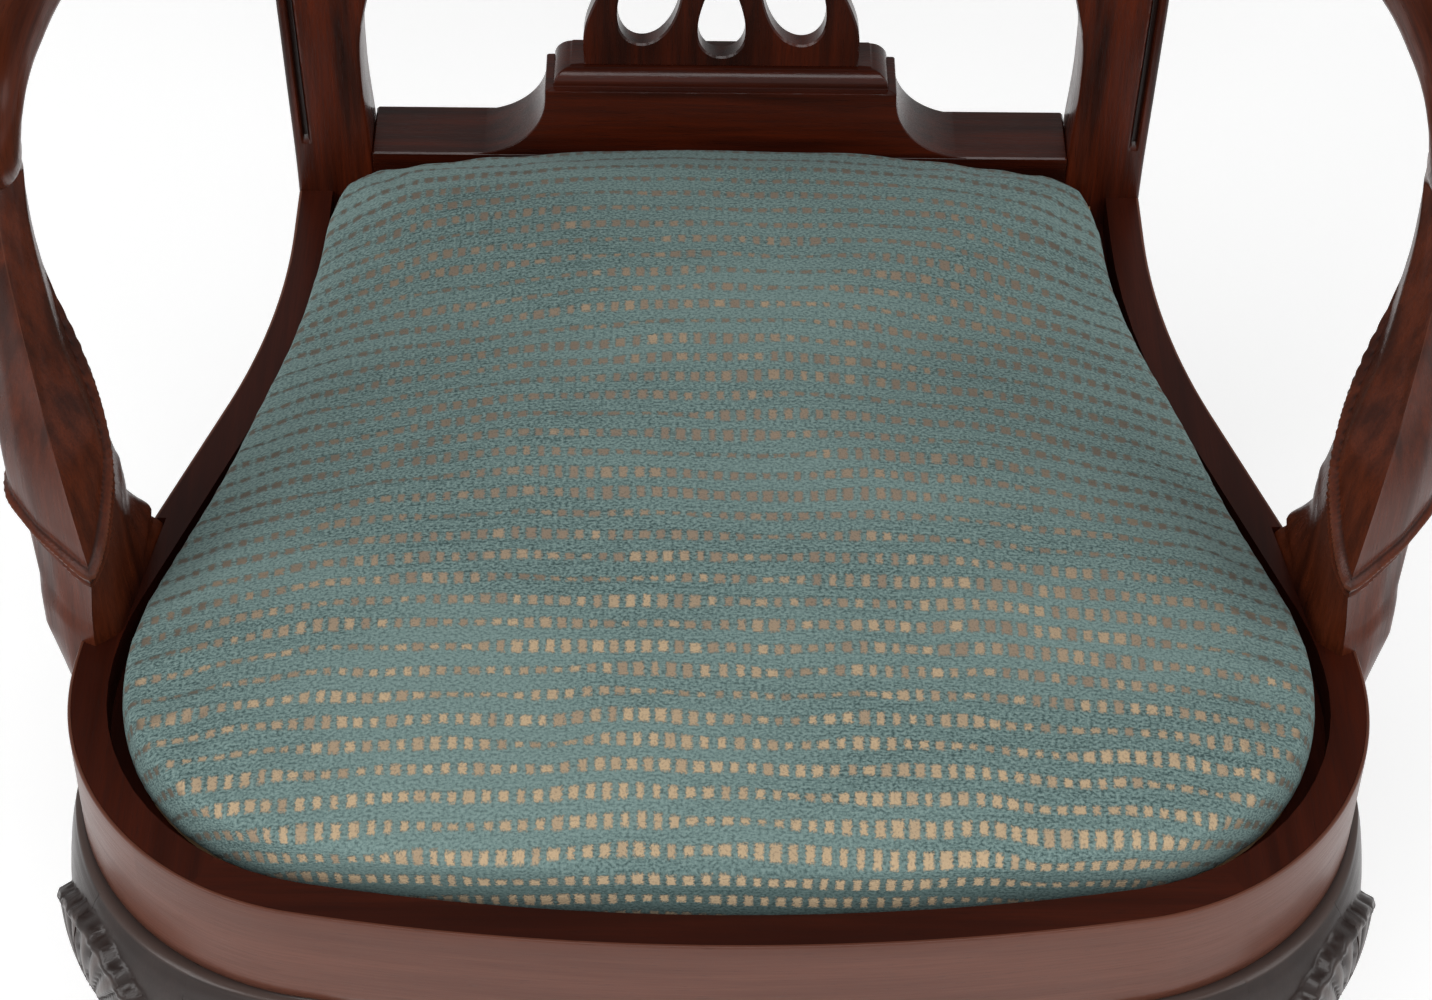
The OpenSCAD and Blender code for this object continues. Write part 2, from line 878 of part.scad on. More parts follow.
module seat_member_left() {
  mirror([1, 0, 0])
    seat_member_side();
}

module seat_member_right() {
  seat_member_side();
}

module seat_member_side() {
  color(pale)
    difference() {
      intersection() {
        seat_members();
        union() {
          translate([10, y_front_lap, 0])
            cube([400, y_back_lap - y_front_lap, 900]);
          intersection() {
            lap_zone();
            translate([10, -500, 0])
              cube([500, 1000, 900]);
          }
        }
      }
      tack_holes();
    }
}

module webbing_long() {
  color([0.75, 0.68, 0.52])
    slab(web_z, web_z + 1.5)
      intersection() {
        polygon(plan(mem_in + 4, mem_y - 4));
        for (i = [-2:2])
          translate([i * 74 - 25, yf])
            square([50, seat_d]);
      }
}

module webbing_cross() {
  color([0.75, 0.68, 0.52])
    slab(web_z + 1.5, web_z + 3)
      intersection() {
        polygon(plan(mem_in + 4, mem_y - 4));
        for (i = [0:4])
          translate([-w, yf + 62 + i * (seat_d - 160) / 4])
            square([2 * w, 50]);
      }
}

module hessian() {
  color([0.66, 0.55, 0.38])
    slab(web_z + 3, pad_z)
      polygon(plan(mem_in + 2, mem_y - 2));
}

module dome(t) {
  translate([0, dome_y, crown_z - dome_r])
    sphere(r = dome_r - t, $fn = 200);
}

module stuffing() {
  color([0.35, 0.27, 0.2])
    intersection() {
      slab(pad_z, crown_z + 5)
        polygon(plan(mem_in, mem_y));
      dome(2);
    }
}

module cover() {
  color([0.4, 0.55, 0.55])
    difference() {
      intersection() {
        slab(ledge_z, crown_z + 5)
          polygon(plan(gap_in, seat_y));
        dome(0);
      }
      intersection() {
        slab(mem_z, crown_z + 5)
          polygon(plan(mem_in, mem_y));
        dome(2);
      }
      slab(ledge_z - 1, mem_z + 1)
        polygon(plan(gap_in + 19, seat_y - 19));
    }
}

module bottom_cloth() {
  color([0.2, 0.17, 0.15])
    difference() {
      slab(mem_z - 0.8, mem_z)
        polygon(plan(gap_in + 24, seat_y - 24));
      tack_holes();
    }
}

module tacks() {
  color(steel)
    tack_places() {
      translate([0, 0, -1.6])
        cylinder(d = 7, h = 0.8, $fn = 24);
      translate([0, 0, -1])
        cylinder(d = 1.4, h = 8, $fn = 24);
    }
}

front_rail();
side_rail_left();
side_rail_right();
back_rail();
front_veneer();
side_veneer_left();
side_veneer_right();
corner_block_front_left();
corner_block_front_right();
corner_block_back_left();
corner_block_back_right();
front_leg_left();
front_leg_right();
knee_block_front_left();
knee_block_front_right();
knee_block_side_left();
knee_block_side_right();
back_post_left();
back_post_right();
shoe();
splat();
crest_rail();
arm_support_left();
arm_support_right();
arm_left();
arm_right();
arm_dowels();
arm_screws();
support_screws();
seat_member_front();
seat_member_back();
seat_member_left();
seat_member_right();
webbing_long();
webbing_cross();
hessian();
stuffing();
cover();
bottom_cloth();
tacks();
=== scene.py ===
import bpy
import math
import numpy as np
import bmesh
from mathutils import Matrix, Vector
from mathutils.geometry import tessellate_polygon


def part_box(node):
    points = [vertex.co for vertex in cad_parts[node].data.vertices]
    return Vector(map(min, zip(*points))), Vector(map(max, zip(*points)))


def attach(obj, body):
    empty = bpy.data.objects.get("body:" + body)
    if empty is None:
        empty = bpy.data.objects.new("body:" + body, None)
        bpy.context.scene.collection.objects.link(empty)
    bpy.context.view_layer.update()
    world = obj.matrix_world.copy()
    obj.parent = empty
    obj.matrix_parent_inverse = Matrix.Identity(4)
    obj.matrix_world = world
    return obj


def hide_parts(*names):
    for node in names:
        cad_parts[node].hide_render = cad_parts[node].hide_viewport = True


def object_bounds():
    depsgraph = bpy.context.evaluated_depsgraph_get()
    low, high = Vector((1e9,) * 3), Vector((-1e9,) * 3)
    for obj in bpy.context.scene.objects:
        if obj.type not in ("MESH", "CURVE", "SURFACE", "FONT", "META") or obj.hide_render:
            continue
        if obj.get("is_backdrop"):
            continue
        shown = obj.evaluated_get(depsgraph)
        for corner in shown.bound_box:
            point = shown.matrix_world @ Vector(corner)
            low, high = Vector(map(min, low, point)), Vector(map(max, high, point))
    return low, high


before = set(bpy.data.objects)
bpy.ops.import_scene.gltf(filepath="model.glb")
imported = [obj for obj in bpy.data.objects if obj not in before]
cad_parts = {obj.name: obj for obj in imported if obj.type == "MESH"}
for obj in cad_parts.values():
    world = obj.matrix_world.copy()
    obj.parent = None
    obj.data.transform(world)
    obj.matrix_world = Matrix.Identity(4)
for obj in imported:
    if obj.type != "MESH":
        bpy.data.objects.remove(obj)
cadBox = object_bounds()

mm = 0.001


def edges(node):
    # the two corners of a node's box, in millimetres
    low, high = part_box(node)
    return np.array(low) * 1000, np.array(high) * 1000


def stack(*parts):
    # arrays spread over one another and joined along a new last axis
    return np.stack(np.broadcast_arrays(*parts), -1)


def putIn(name, data, right, up, forward, place):
    # an object at place, looking along forward
    made = bpy.data.objects.new(name, data)
    bpy.context.scene.collection.objects.link(made)
    turned = np.eye(4)
    turned[:3] = stack(right, up, -forward, place)
    made.matrix_world = Matrix(turned.tolist())
    return made


# the camera

cameraSet = {"place": (-0.014, -1.2125, 1.611), "pitch": 45.0, "yaw": 0.6, "roll": 0.9, "sensor": 36,
    "lens": 3500 / 1432 * 36, "reach": 60}


def aimCamera(c):
    # forward leans down by the pitch; right and up are then turned by the roll
    p, y, r = (math.radians(c[k]) for k in ("pitch", "yaw", "roll"))
    forward = np.array([math.sin(y) * math.cos(p), math.cos(y) * math.cos(p), -math.sin(p)])
    right = np.array([math.cos(y), -math.sin(y), 0.0])
    up = np.cross(right, forward)
    right, up = math.cos(r) * right + math.sin(r) * up, math.cos(r) * up - math.sin(r) * right
    data = bpy.data.cameras.new("viewCamera")
    data.lens, data.sensor_width, data.clip_end = c["lens"], c["sensor"], c["reach"]
    bpy.context.scene.camera = putIn("viewCamera", data, right, up, forward, c["place"])


aimCamera(cameraSet)
bpy.context.scene.view_settings.view_transform = "Standard"

# shader helpers


class Wire:
    # a socket whose arithmetic adds Math nodes
    def __init__(self, maker, socket):
        self.maker, self.socket = maker, socket

    def calc(self, operation, *others, flipped=False):
        values = (*others, self) if flipped else (self, *others)
        return self.maker.node("ShaderNodeMath", {"operation": operation}, dict(enumerate(values)))

    def __add__(self, other): return self.calc("ADD", other)
    def __radd__(self, other): return self.calc("ADD", other, flipped=True)
    def __sub__(self, other): return self.calc("SUBTRACT", other)
    def __rsub__(self, other): return self.calc("SUBTRACT", other, flipped=True)
    def __mul__(self, other): return self.calc("MULTIPLY", other)
    def __rmul__(self, other): return self.calc("MULTIPLY", other, flipped=True)
    def __truediv__(self, other): return self.calc("DIVIDE", other)
    def __rtruediv__(self, other): return self.calc("DIVIDE", other, flipped=True)
    def floor(self): return self.calc("FLOOR")
    def part(self): return self.calc("FRACT")
    def size(self): return self.calc("ABSOLUTE")
    def wave(self): return self.calc("SINE")


class Maker:
    # adds nodes to one tree: the type, then the settings, then socket values and links
    def __init__(self, tree):
        self.tree = tree

    def feed(self, socket, value):
        if isinstance(value, Wire):
            self.tree.links.new(value.socket, socket)
        else:
            socket.default_value = value

    def node(self, kind, settings=None, sockets=None, out=0):
        made = self.tree.nodes.new(kind)
        for key, value in (settings or {}).items():
            if key == "stops":
                ramp = made.color_ramp
                while len(ramp.elements) < len(value):
                    ramp.elements.new(0.5)
                for element, (place, grey) in zip(ramp.elements, value):
                    element.position, element.color = place, (grey, grey, grey, 1)
            else:
                setattr(made, key, value)
        for key, value in (sockets or {}).items():
            self.feed(made.inputs[key], value)
        return [Wire(self, s) for s in made.outputs] if out is None else Wire(self, made.outputs[out])

    def parts(self, vector):
        return self.node("ShaderNodeSeparateXYZ", None, {0: vector}, out=None)


class Paint(Maker):
    # one material: a Principled shader and the nodes that feed it
    def __init__(self, name, **constants):
        self.material = bpy.data.materials.new(name)
        self.material.use_nodes = True
        super().__init__(self.material.node_tree)
        self.shader = self.tree.nodes["Principled BSDF"]
        for key, value in constants.items():
            self.shader.inputs[key.replace("_", " ")].default_value = value

    def objectPlace(self):
        return self.node("ShaderNodeTexCoord", out="Object")

    def attribute(self, name, out="Vector"):
        return self.node("ShaderNodeAttribute", {"attribute_name": name}, out=out)

    def scaled(self, vector, scale, shift=(0, 0, 0)):
        return self.node("ShaderNodeMapping", {"vector_type": "POINT"},
            {"Vector": vector, "Scale": scale, "Location": shift})

    def noise(self, vector, scale=1.0, detail=3.0, rough=0.55):
        return self.node("ShaderNodeTexNoise", None,
            {"Vector": vector, "Scale": scale, "Detail": detail, "Roughness": rough})

    def spread(self, wire, low, high, toLow=0.0, toHigh=1.0):
        return self.node("ShaderNodeMapRange", {"interpolation_type": "SMOOTHSTEP"},
            {"Value": wire, "From Min": low, "From Max": high, "To Min": toLow, "To Max": toHigh})

    def mix(self, factor, first, second):
        first, second = (v if isinstance(v, Wire) else (*v, 1) for v in (first, second))
        return self.node("ShaderNodeMix", {"data_type": "RGBA"}, {0: factor, 6: first, 7: second}, out=2)

    def join(self, x, y, z):
        return self.node("ShaderNodeCombineXYZ", None, {"X": x, "Y": y, "Z": z})

    def ordered(self, vector, order):
        xyz = self.parts(vector)
        return self.join(*(xyz[i] for i in order))

    def bump(self, height, strength, distance):
        bumped = self.node("ShaderNodeBump", None,
            {"Height": height, "Strength": strength, "Distance": distance})
        self.feed(self.shader.inputs["Normal"], bumped)

    def colour(self, wire): self.feed(self.shader.inputs["Base Color"], wire)
    def roughness(self, wire): self.feed(self.shader.inputs["Roughness"], wire)


# finishes

mahoganySet = {
    "polished": {"dark": (0.013, 0.0024, 0.0010), "red": (0.056, 0.0080, 0.0022), "gloss": 0.24,
    "coat": 0.12, "shine": 0.22, "figure": 1.0},
    "veneer": {"dark": (0.074, 0.023, 0.013), "red": (0.132, 0.046, 0.028), "gloss": 0.34,
    "coat": 0.06, "shine": 0.22, "figure": 0.5},
    "rim": {"dark": (0.018, 0.0030, 0.0012), "red": (0.052, 0.0085, 0.0032), "gloss": 0.34,
    "coat": 0.05, "shine": 0.18, "figure": 0.7},
    "carved": {"dark": (0.013, 0.0078, 0.0068), "red": (0.030, 0.0180, 0.0150), "gloss": 0.34,
    "coat": 0.14, "shine": 0.3, "figure": 0.5, "paintedLit": (0.070, 0.042, 0.034)},
    "post": {"dark": (0.011, 0.0024, 0.0011), "red": (0.078, 0.0120, 0.0036), "gloss": 0.28,
    "coat": 0.10, "shine": 0.2, "figure": 1.1},
    "support": {"dark": (0.022, 0.0045, 0.0018), "red": (0.092, 0.0180, 0.0060), "gloss": 0.30,
    "coat": 0.04, "shine": 0.12, "figure": 0.9},
}


def mahogany(name, look, source=None, order=(0, 1, 2), lines=False):
    # grain runs along the first coordinate: broad figure, fine lines and open pores are
    # the same noise squeezed by different amounts along the grain
    paint = Paint(name, Coat_Weight=look["coat"], Coat_Roughness=0.1, IOR=1.5,
        Specular_IOR_Level=look["shine"])
    place = paint.ordered(paint.attribute(source) if source else paint.objectPlace(), order)
    figure = paint.noise(paint.scaled(place, (3.2, 34, 34)), detail=4)
    ribbon = paint.noise(paint.scaled(place, (7, 130, 130), (3, 1, 2)), detail=3)
    fine = paint.noise(paint.scaled(place, (26, 900, 900)), detail=2)
    pores = paint.noise(paint.scaled(place, (90, 2600, 2600), (1, 5, 3)), detail=1)
    red = paint.spread(figure * 0.6 + ribbon * 0.4, 0.36, 0.64)
    tone = paint.mix(red * look["figure"] + (1 - look["figure"]) * 0.5, look["dark"], look["red"])
    tone = paint.mix(paint.spread(fine, 0.35, 0.7, 0.0, 0.35), tone, look["dark"])
    tone = paint.mix(paint.spread(pores, 0.62, 0.72, 0.0, 0.5), tone, tuple(0.5 * c for c in look["dark"]))
    if lines:
        # painted highlights make arrises, beads and flute ridges paler; painted shade makes the bottoms of
        # cuts and grooves darker
        wear = paint.attribute("wear", "Fac")
        tone = paint.mix(paint.spread(wear, 0.55, 1.0, 0.0, 0.6), tone,
            look.get("paintedLit", (0.15, 0.055, 0.030)))
        tone = paint.mix(paint.spread(wear, 0.45, 0.0, 0.0, 0.85), tone, (0.005, 0.0025, 0.002))
    paint.colour(tone)
    paint.roughness(look["gloss"] + paint.spread(fine, 0.3, 0.8, -0.03, 0.08))
    paint.bump(fine * 0.5 - paint.spread(pores, 0.6, 0.75), 0.18, 0.0002)
    return paint.material


def beech(name, order):
    paint = Paint(name, Roughness=0.6)
    place = paint.ordered(paint.objectPlace(), order)
    figure = paint.noise(paint.scaled(place, (4, 60, 60)), detail=4)
    flecks = paint.noise(paint.scaled(place, (120, 900, 900)), detail=1)
    tone = paint.mix(paint.spread(figure, 0.3, 0.7), (0.36, 0.21, 0.10), (0.52, 0.36, 0.20))
    tone = paint.mix(paint.spread(flecks, 0.6, 0.7, 0, 0.5), tone, (0.24, 0.12, 0.05))
    paint.colour(tone)
    paint.bump(flecks, 0.2, 0.0002)
    return paint.material


def weave(name, light, dark, pitch):
    # over-and-under threads: two sines of the plan coordinates, opposed
    paint = Paint(name, Roughness=0.95, Sheen_Weight=0.2)
    x, y, z = paint.parts(paint.objectPlace())
    over = (x * (math.pi / pitch)).wave() * (y * (math.pi / pitch)).wave()
    grit = paint.noise(paint.scaled(paint.objectPlace(), (900, 900, 900)), detail=2)
    paint.colour(paint.mix(paint.spread(over * 0.5 + grit, 0.1, 0.9), dark, light))
    paint.bump(over + grit, 0.6, 0.0006)
    return paint.material


def metal(name, colour, rough):
    paint = Paint(name, Metallic=1.0)
    grit = paint.noise(paint.scaled(paint.objectPlace(), (600, 600, 600)), detail=3)
    paint.colour(paint.mix(paint.spread(grit, 0.4, 0.7), colour, tuple(c * 0.6 for c in colour)))
    paint.roughness(rough + grit * 0.15)
    return paint.material


chenilleSet = {"rowPitch": 0.0123, "blockPitch": 0.0073, "wave": 0.0024,
    "pile": (0.128, 0.196, 0.186), "deep": (0.026, 0.050, 0.051), "pale": (0.200, 0.284, 0.268),
    "gold": (0.47, 0.345, 0.215), "rose": (0.235, 0.180, 0.132), "shade": (0.050, 0.045, 0.036),
    "frontShadeBand": (-0.262, -0.284), "bright": (-0.25, -0.06)}


def chenille(name, look):
    # rows of small woven blocks, rowPitch apart, each row waving gently; a block's height
    # comes from slow noise along its row, its width and tone from a hash of its cell
    paint = Paint(name, Roughness=0.97, Sheen_Weight=0.12, Sheen_Roughness=0.5,
        Sheen_Tint=(0.75, 0.9, 0.9, 1), Specular_IOR_Level=0.15)
    u, v, facing = paint.parts(paint.attribute("cloth"))

    def field(x, y, z, detail=2, rough=0.55):
        # noise over the cloth: x and y are scaled cloth coordinates, z picks the pattern
        return paint.noise(paint.join(x, y, z), detail=detail, rough=rough)

    def cellHash(x, y):
        return paint.node("ShaderNodeTexWhiteNoise", {"noise_dimensions": "2D"},
            {"Vector": paint.join(x, y, 0.0)})

    drift = field(u * 8.0, v * 5.0, 0.0, detail=1) - 0.5
    ripple = field(u * 24.0, v * 16.0, 4.0, detail=1) - 0.5
    rows = (v + drift * (look["wave"] * 5.0) + ripple * (look["wave"] * 2.2)) / look["rowPitch"]
    row = rows.floor()
    inRow = rows.part() - 0.5
    shift = paint.node("ShaderNodeTexWhiteNoise", {"noise_dimensions": "1D"}, {"W": row})
    cols = u / look["blockPitch"] + shift * 7.0 + ripple * 0.6
    col = cols.floor()
    inCol = cols.part() - 0.5
    cell, other = cellHash(row, col), cellHash(col, row)
    slow = field(u * 10.0, row * 3.7, 1.0, rough=0.6)
    patch = field(u * 7.0, v * 9.0, 5.0, detail=1)
    fuzz = field(u * 900.0, v * 900.0, 0.0)
    # the pile stands above the blocks, so it hides part of them where the cloth turns away; there the
    # blocks and the row grooves are also darkened with painted shade
    turned = paint.spread(facing, 0.36, 0.76, 1.0, 0.0)
    tall = (paint.spread(slow, 0.32, 0.64, 0.08, 0.29) + (cell - 0.5) * 0.05) * (1 - turned * 0.35)
    wide = 0.27 + (other - 0.5) * 0.15
    edge = (fuzz - 0.5) * 0.42
    block = (1 - paint.spread(inRow.size() + edge * 0.6, tall - 0.07, tall + 0.07)) * \
        (1 - paint.spread(inCol.size() + edge, wide - 0.09, wide + 0.09))
    # painted shadow: a dark band where the pile's wall shades the far edge of each block
    pileShadowBand = (1 - paint.spread(inRow.size(), tall, tall + 0.10)) * \
        (1 - paint.spread(inCol.size(), wide, wide + 0.16)) * paint.spread(inRow, 0.0, tall)
    # dark threads run across the pile in short lengths, and the nap lies in soft patches
    threads = field(u * 75.0, v * 1500.0, 0.0)
    streak = field(u * 20.0, v * 420.0, 6.0, detail=3)
    brushed = field(u * 5.0, v * 11.0, 2.0)
    grit = field(u * 620.0, v * 900.0, 9.0)
    amount = paint.spread(brushed, 0.38, 0.66, 0.25, 1.0)
    # groove is painted shade in the recesses between rows, deeper where the cloth turns away
    groove = (1 - paint.spread(inRow.size(), 0.02, 0.12)) * paint.spread(threads, 0.4, 0.6, 0.15, 0.75)
    behind = paint.spread(v, *look["bright"])
    pile, gold = look["pile"], look["gold"]
    # the last share is painted shade along the front edge of the cushion, where the cloth rolls down
    for share, tone in ((paint.spread(threads, 0.45, 0.68, 0.0, 0.55) * amount, "deep"),
            (paint.spread(streak, 0.48, 0.74, 0.0, 0.62) * amount, "deep"),
            (paint.spread(grit, 0.46, 0.66, 0.0, 0.8), "pale"),
            (paint.spread(grit, 0.50, 0.32, 0.0, 0.8), "deep"),
            (paint.spread(brushed, 0.62, 0.34, 0.0, 0.30), "pale"),
            (groove * (turned * 0.6 + 0.25), "shade"),
            (pileShadowBand * 0.35, "shade"), (paint.spread(v, *look["frontShadeBand"], 0.0, 0.45), "deep")):
        pile = paint.mix(share, pile, look[tone])
    # painted shade: blocks turned away from the front are dulled towards rose and darkened
    for share, tone in ((paint.spread(cell * 0.4 + patch * 0.6 + behind * 0.42, 0.36, 1.05), "rose"),
            (turned * 0.8, "rose"), (paint.spread(fuzz, 0.5, 0.7, 0.0, 0.35), "shade"),
            (turned * 0.7 + paint.spread(slow, 0.5, 0.3, 0.0, 0.25), "shade")):
        gold = paint.mix(share, gold, look[tone])
    paint.colour(paint.mix(block, pile, gold))
    paint.bump((1 - block) * 0.8 + fuzz * 0.5 + grit * 0.6, 0.6, 0.0009)
    return paint.material


finish = {key: mahogany("mahogany" + key.capitalize(), look, "grain",
    lines=key in ("carved", "post", "support"))
    for key, look in mahoganySet.items()}
finish.update(
    alongY=mahogany("mahoganyAlongY", mahoganySet["rim"], order=(1, 0, 2)),
    rimX=mahogany("mahoganyAlongX", mahoganySet["rim"]),
    beechX=beech("beechAlongX", (0, 1, 2)), beechY=beech("beechAlongY", (1, 0, 2)),
    beechZ=beech("beechAlongZ", (2, 0, 1)),
    steel=metal("plainSteel", (0.45, 0.44, 0.42), 0.32), blued=metal("bluedSteel", (0.06, 0.06, 0.07), 0.4),
    webbing=weave("juteWebbing", (0.50, 0.41, 0.26), (0.22, 0.16, 0.09), 0.0022),
    hessian=weave("hessianCloth", (0.42, 0.30, 0.16), (0.17, 0.11, 0.05), 0.0014),
    lining=weave("blackCotton", (0.035, 0.03, 0.026), (0.012, 0.01, 0.009), 0.0007),
    chenille=chenille("tealChenille", chenilleSet))
print("materials made:", len(finish))

# mesh helpers


def ringFaces(n, m):
    # quads between neighbouring rings of m points, n rings in all
    i, j = np.meshgrid(np.arange(n - 1), np.arange(m), indexing="ij")
    k = (j + 1) % m
    return stack(i * m + j, i * m + k, (i + 1) * m + k, (i + 1) * m + j).reshape(-1, 4)


def closedSolid(rings):
    # rings (n, m, 3) joined into a skin, each end closed by a fan to its middle; faces are
    # turned outwards when the sum of a . (b x c) over the triangles is negative
    n, m = rings.shape[:2]
    points = np.concatenate([rings.reshape(-1, 3), rings[:1].mean(1), rings[-1:].mean(1)])
    j = np.arange(m)
    k = (j + 1) % m
    quads, fans = ringFaces(n, m), np.concatenate([stack(k, j, n * m),
        stack((n - 1) * m + j, (n - 1) * m + k, n * m + 1)])
    a, b, c = points[np.concatenate([quads[:, :3], quads[:, [0, 2, 3]], fans])].transpose(1, 0, 2)
    faces = quads.tolist() + fans.tolist()
    return points, [f[::-1] for f in faces] if (a * np.cross(b, c)).sum() < 0 else faces


def capped(values):
    # per-ring-point values, with the two end middles added
    flat = values.reshape(-1, values.shape[-1])
    return np.concatenate([flat, values[:1].mean(1), values[-1:].mean(1)])


def skin(rings, grain=None, wear=None):
    # one shell: points, faces, grain in metres (along, across, through) and painted light from 0 to 1,
    # painted shade below 0.5 and painted highlight above
    points, faces = closedSolid(rings)
    return points, faces, (points if grain is None else capped(grain)) * mm, \
        None if wear is None else capped(wear[..., None])[:, 0]


def readPoints(mesh, what="co"):
    values = np.zeros(len(mesh.vertices) * 3)
    mesh.vertices.foreach_get(what, values)
    return values.reshape(-1, 3)


def makeMesh(name, shells, sharp=38):
    # shells is a list of (points in mm, faces, grain in metres, painted light); they become one object
    points, faces, grain, wear, start = [], [], [], [], 0
    for p, f, g, h in shells:
        points.append(p)
        faces += [[i + start for i in face] for face in f]
        grain.append(p * mm if g is None else g)
        wear.append(np.full(len(p), 0.5) if h is None else h)
        start += len(p)
    points, grain, wear = np.concatenate(points) * mm, np.concatenate(grain), np.concatenate(wear)
    mesh = bpy.data.meshes.new(name)
    mesh.from_pydata(points.tolist(), [], faces)
    mesh.attributes.new("grain", "FLOAT_VECTOR", "POINT").data.foreach_set(
        "vector", grain.astype(np.float32).ravel())
    mesh.attributes.new("wear", "FLOAT", "POINT").data.foreach_set("value", wear.astype(np.float32))
    mesh.polygons.foreach_set("use_smooth", np.ones(len(mesh.polygons), bool))
    mesh.set_sharp_from_angle(angle=math.radians(sharp))
    mesh.update()
    made = bpy.data.objects.new(name, mesh)
    bpy.context.scene.collection.objects.link(made)
    return made


def addPiece(name, shells, replaced, look="polished", sharp=38, body="chair"):
    # every wooden skin rides on the chair; its finish names its slot
    made = makeMesh(name, shells, sharp)
    made.data.materials.append(finish[look])
    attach(made, body)
    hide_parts(*replaced)


def bothSides(stem, node, shells, look, sharp):
    # the same shells on the other side: x changes sign and the faces turn round
    addPiece(stem + "RightSkin", shells, [node + "_right"], look, sharp)
    shells = [(p * (-1, 1, 1), [f[::-1] for f in faces], g, h) for p, faces, g, h in shells]
    addPiece(stem + "LeftSkin", shells, [node + "_left"], look, sharp)


def curveThrough(rows, count):
    # a smooth curve through the rows (Catmull-Rom), sampled evenly in the row number
    p = np.asarray(rows, float)
    n = len(p) - 1
    t = np.linspace(0, n, count)
    s = np.minimum(t.astype(int), n - 1)
    f = (t - s)[:, None]
    a, b, c, d = p[np.maximum(s - 1, 0)], p[s], p[s + 1], p[np.minimum(s + 2, n)]
    return 0.5 * (2 * b + (c - a) * f + (2 * a - 5 * b + 4 * c - d) * f ** 2 + (3 * b - a - 3 * c + d)
        * f ** 3)


def smoothTable(x, xs, ys):
    # cubic through a table, its slopes taken from the neighbours
    xs, ys = np.asarray(xs, float), np.asarray(ys, float)
    slope = np.gradient(ys, xs)
    i = np.clip(np.searchsorted(xs, x) - 1, 0, len(xs) - 2)
    h = xs[i + 1] - xs[i]
    t = np.clip((x - xs[i]) / h, 0, 1)
    return ((2 * t ** 3 - 3 * t ** 2 + 1) * ys[i] + (t ** 3 - 2 * t ** 2 + t) * h * slope[i]
        + (3 * t ** 2 - 2 * t ** 3) * ys[i + 1] + (t ** 3 - t ** 2) * h * slope[i + 1])


def step(x, low, high):
    # from 0 at low to 1 at high, level at both ends
    t = np.clip((x - low) / (high - low), 0, 1)
    return t * t * (3 - 2 * t)


# the outline of the seat

veneerLow, veneerHigh = edges("front_veneer")
railLow, railHigh = edges("back_rail")
seat = {"half": 294.0, "front": veneerLow[1], "posts": railLow[1] + 30, "bow": 1050.0, "corner": 134.0,
    "shoulder": 175.6, "waist": 400.0, "backHalf": 219.5, "railLow": veneerLow[2],
    "rim": veneerHigh[2], "rimWidth": 17.5, "gap": 7.0}


def seatOutline(q, spacing=1.2):
    # right half from the front middle: bow, corner, shoulder, straight, hollow waist, straight
    front, bow, corner, half = q["front"], q["bow"], q["corner"], q["half"]
    bowTurn = math.asin((half - corner) / (bow - corner))
    midY = front + bow - (bow - corner) * math.cos(bowTurn)
    waistY = q["posts"] - 33.5
    e, r = waistY - midY, q["shoulder"] + q["waist"]
    k = r - (half - q["backHalf"])
    turn = math.asin(r / math.hypot(e, k)) - math.atan2(k, e)
    pieces = []

    def arc(cx, cy, radius, a, b, hollow=False):
        n = max(2, int(abs(b - a) * radius / spacing))
        t = np.linspace(a, b, n)
        ray = stack(np.cos(t), np.sin(t))
        pieces.append((np.array([cx, cy]) + radius * ray, -ray if hollow else ray))

    def line(p, q2, normal):
        n = max(2, int(math.dist(p, q2) / spacing))
        t = np.linspace(0, 1, n)[:, None]
        pieces.append((np.array(p) * (1 - t) + np.array(q2) * t, np.tile(normal, (n, 1))))

    quarter = math.pi / 2
    arc(0, front + bow, bow, -quarter, -quarter + bowTurn)
    arc(half - corner, midY, corner, -quarter + bowTurn, 0)
    arc(half - q["shoulder"], midY, q["shoulder"], 0, turn)
    waistX = q["backHalf"] + q["waist"]
    line(pieces[-1][0][-1], (waistX - q["waist"] * math.cos(turn), waistY - q["waist"] * math.sin(turn)),
        (math.cos(turn), math.sin(turn)))
    arc(waistX, waistY, q["waist"], math.pi + turn, math.pi, hollow=True)
    line((q["backHalf"], waistY), (q["backHalf"], q["posts"]), (1.0, 0.0))
    place = np.concatenate([p[1:] if i else p for i, (p, _) in enumerate(pieces)])
    normal = np.concatenate([n[1:] if i else n for i, (_, n) in enumerate(pieces)])
    length = np.concatenate([[0], np.cumsum(np.hypot(*np.diff(place, axis=0).T))])
    return place, normal, length, midY


edgePlace, edgeNormal, edgeLength, cornerY = seatOutline(seat)


def onEdge(s):
    # outline point and outward normal at distance s from the front middle, left side negative
    a, sign = np.abs(s), np.where(np.asarray(s) < 0, -1.0, 1.0)
    p = np.stack([np.interp(a, edgeLength, edgePlace[:, i]) for i in (0, 1)], -1)
    n = np.stack([np.interp(a, edgeLength, edgeNormal[:, i]) for i in (0, 1)], -1)
    n /= np.linalg.norm(n, axis=-1, keepdims=True)
    p[..., 0] *= sign
    n[..., 0] *= sign
    return p, n


def edgeAtY(y):
    # distance along the side part of the outline where it reaches y
    side = edgePlace[:, 1] > cornerY - 60
    return float(np.interp(y, edgePlace[side, 1], edgeLength[side]))


legRay = seat["corner"] - 38
legX = seat["half"] - seat["corner"] + legRay * math.cos(math.pi / 4)
legY = cornerY - legRay * math.sin(math.pi / 4)
middle = np.array([math.cos(math.pi / 4), -math.sin(math.pi / 4)])
legAt = edgeLength[np.argmax(edgeNormal @ middle)]


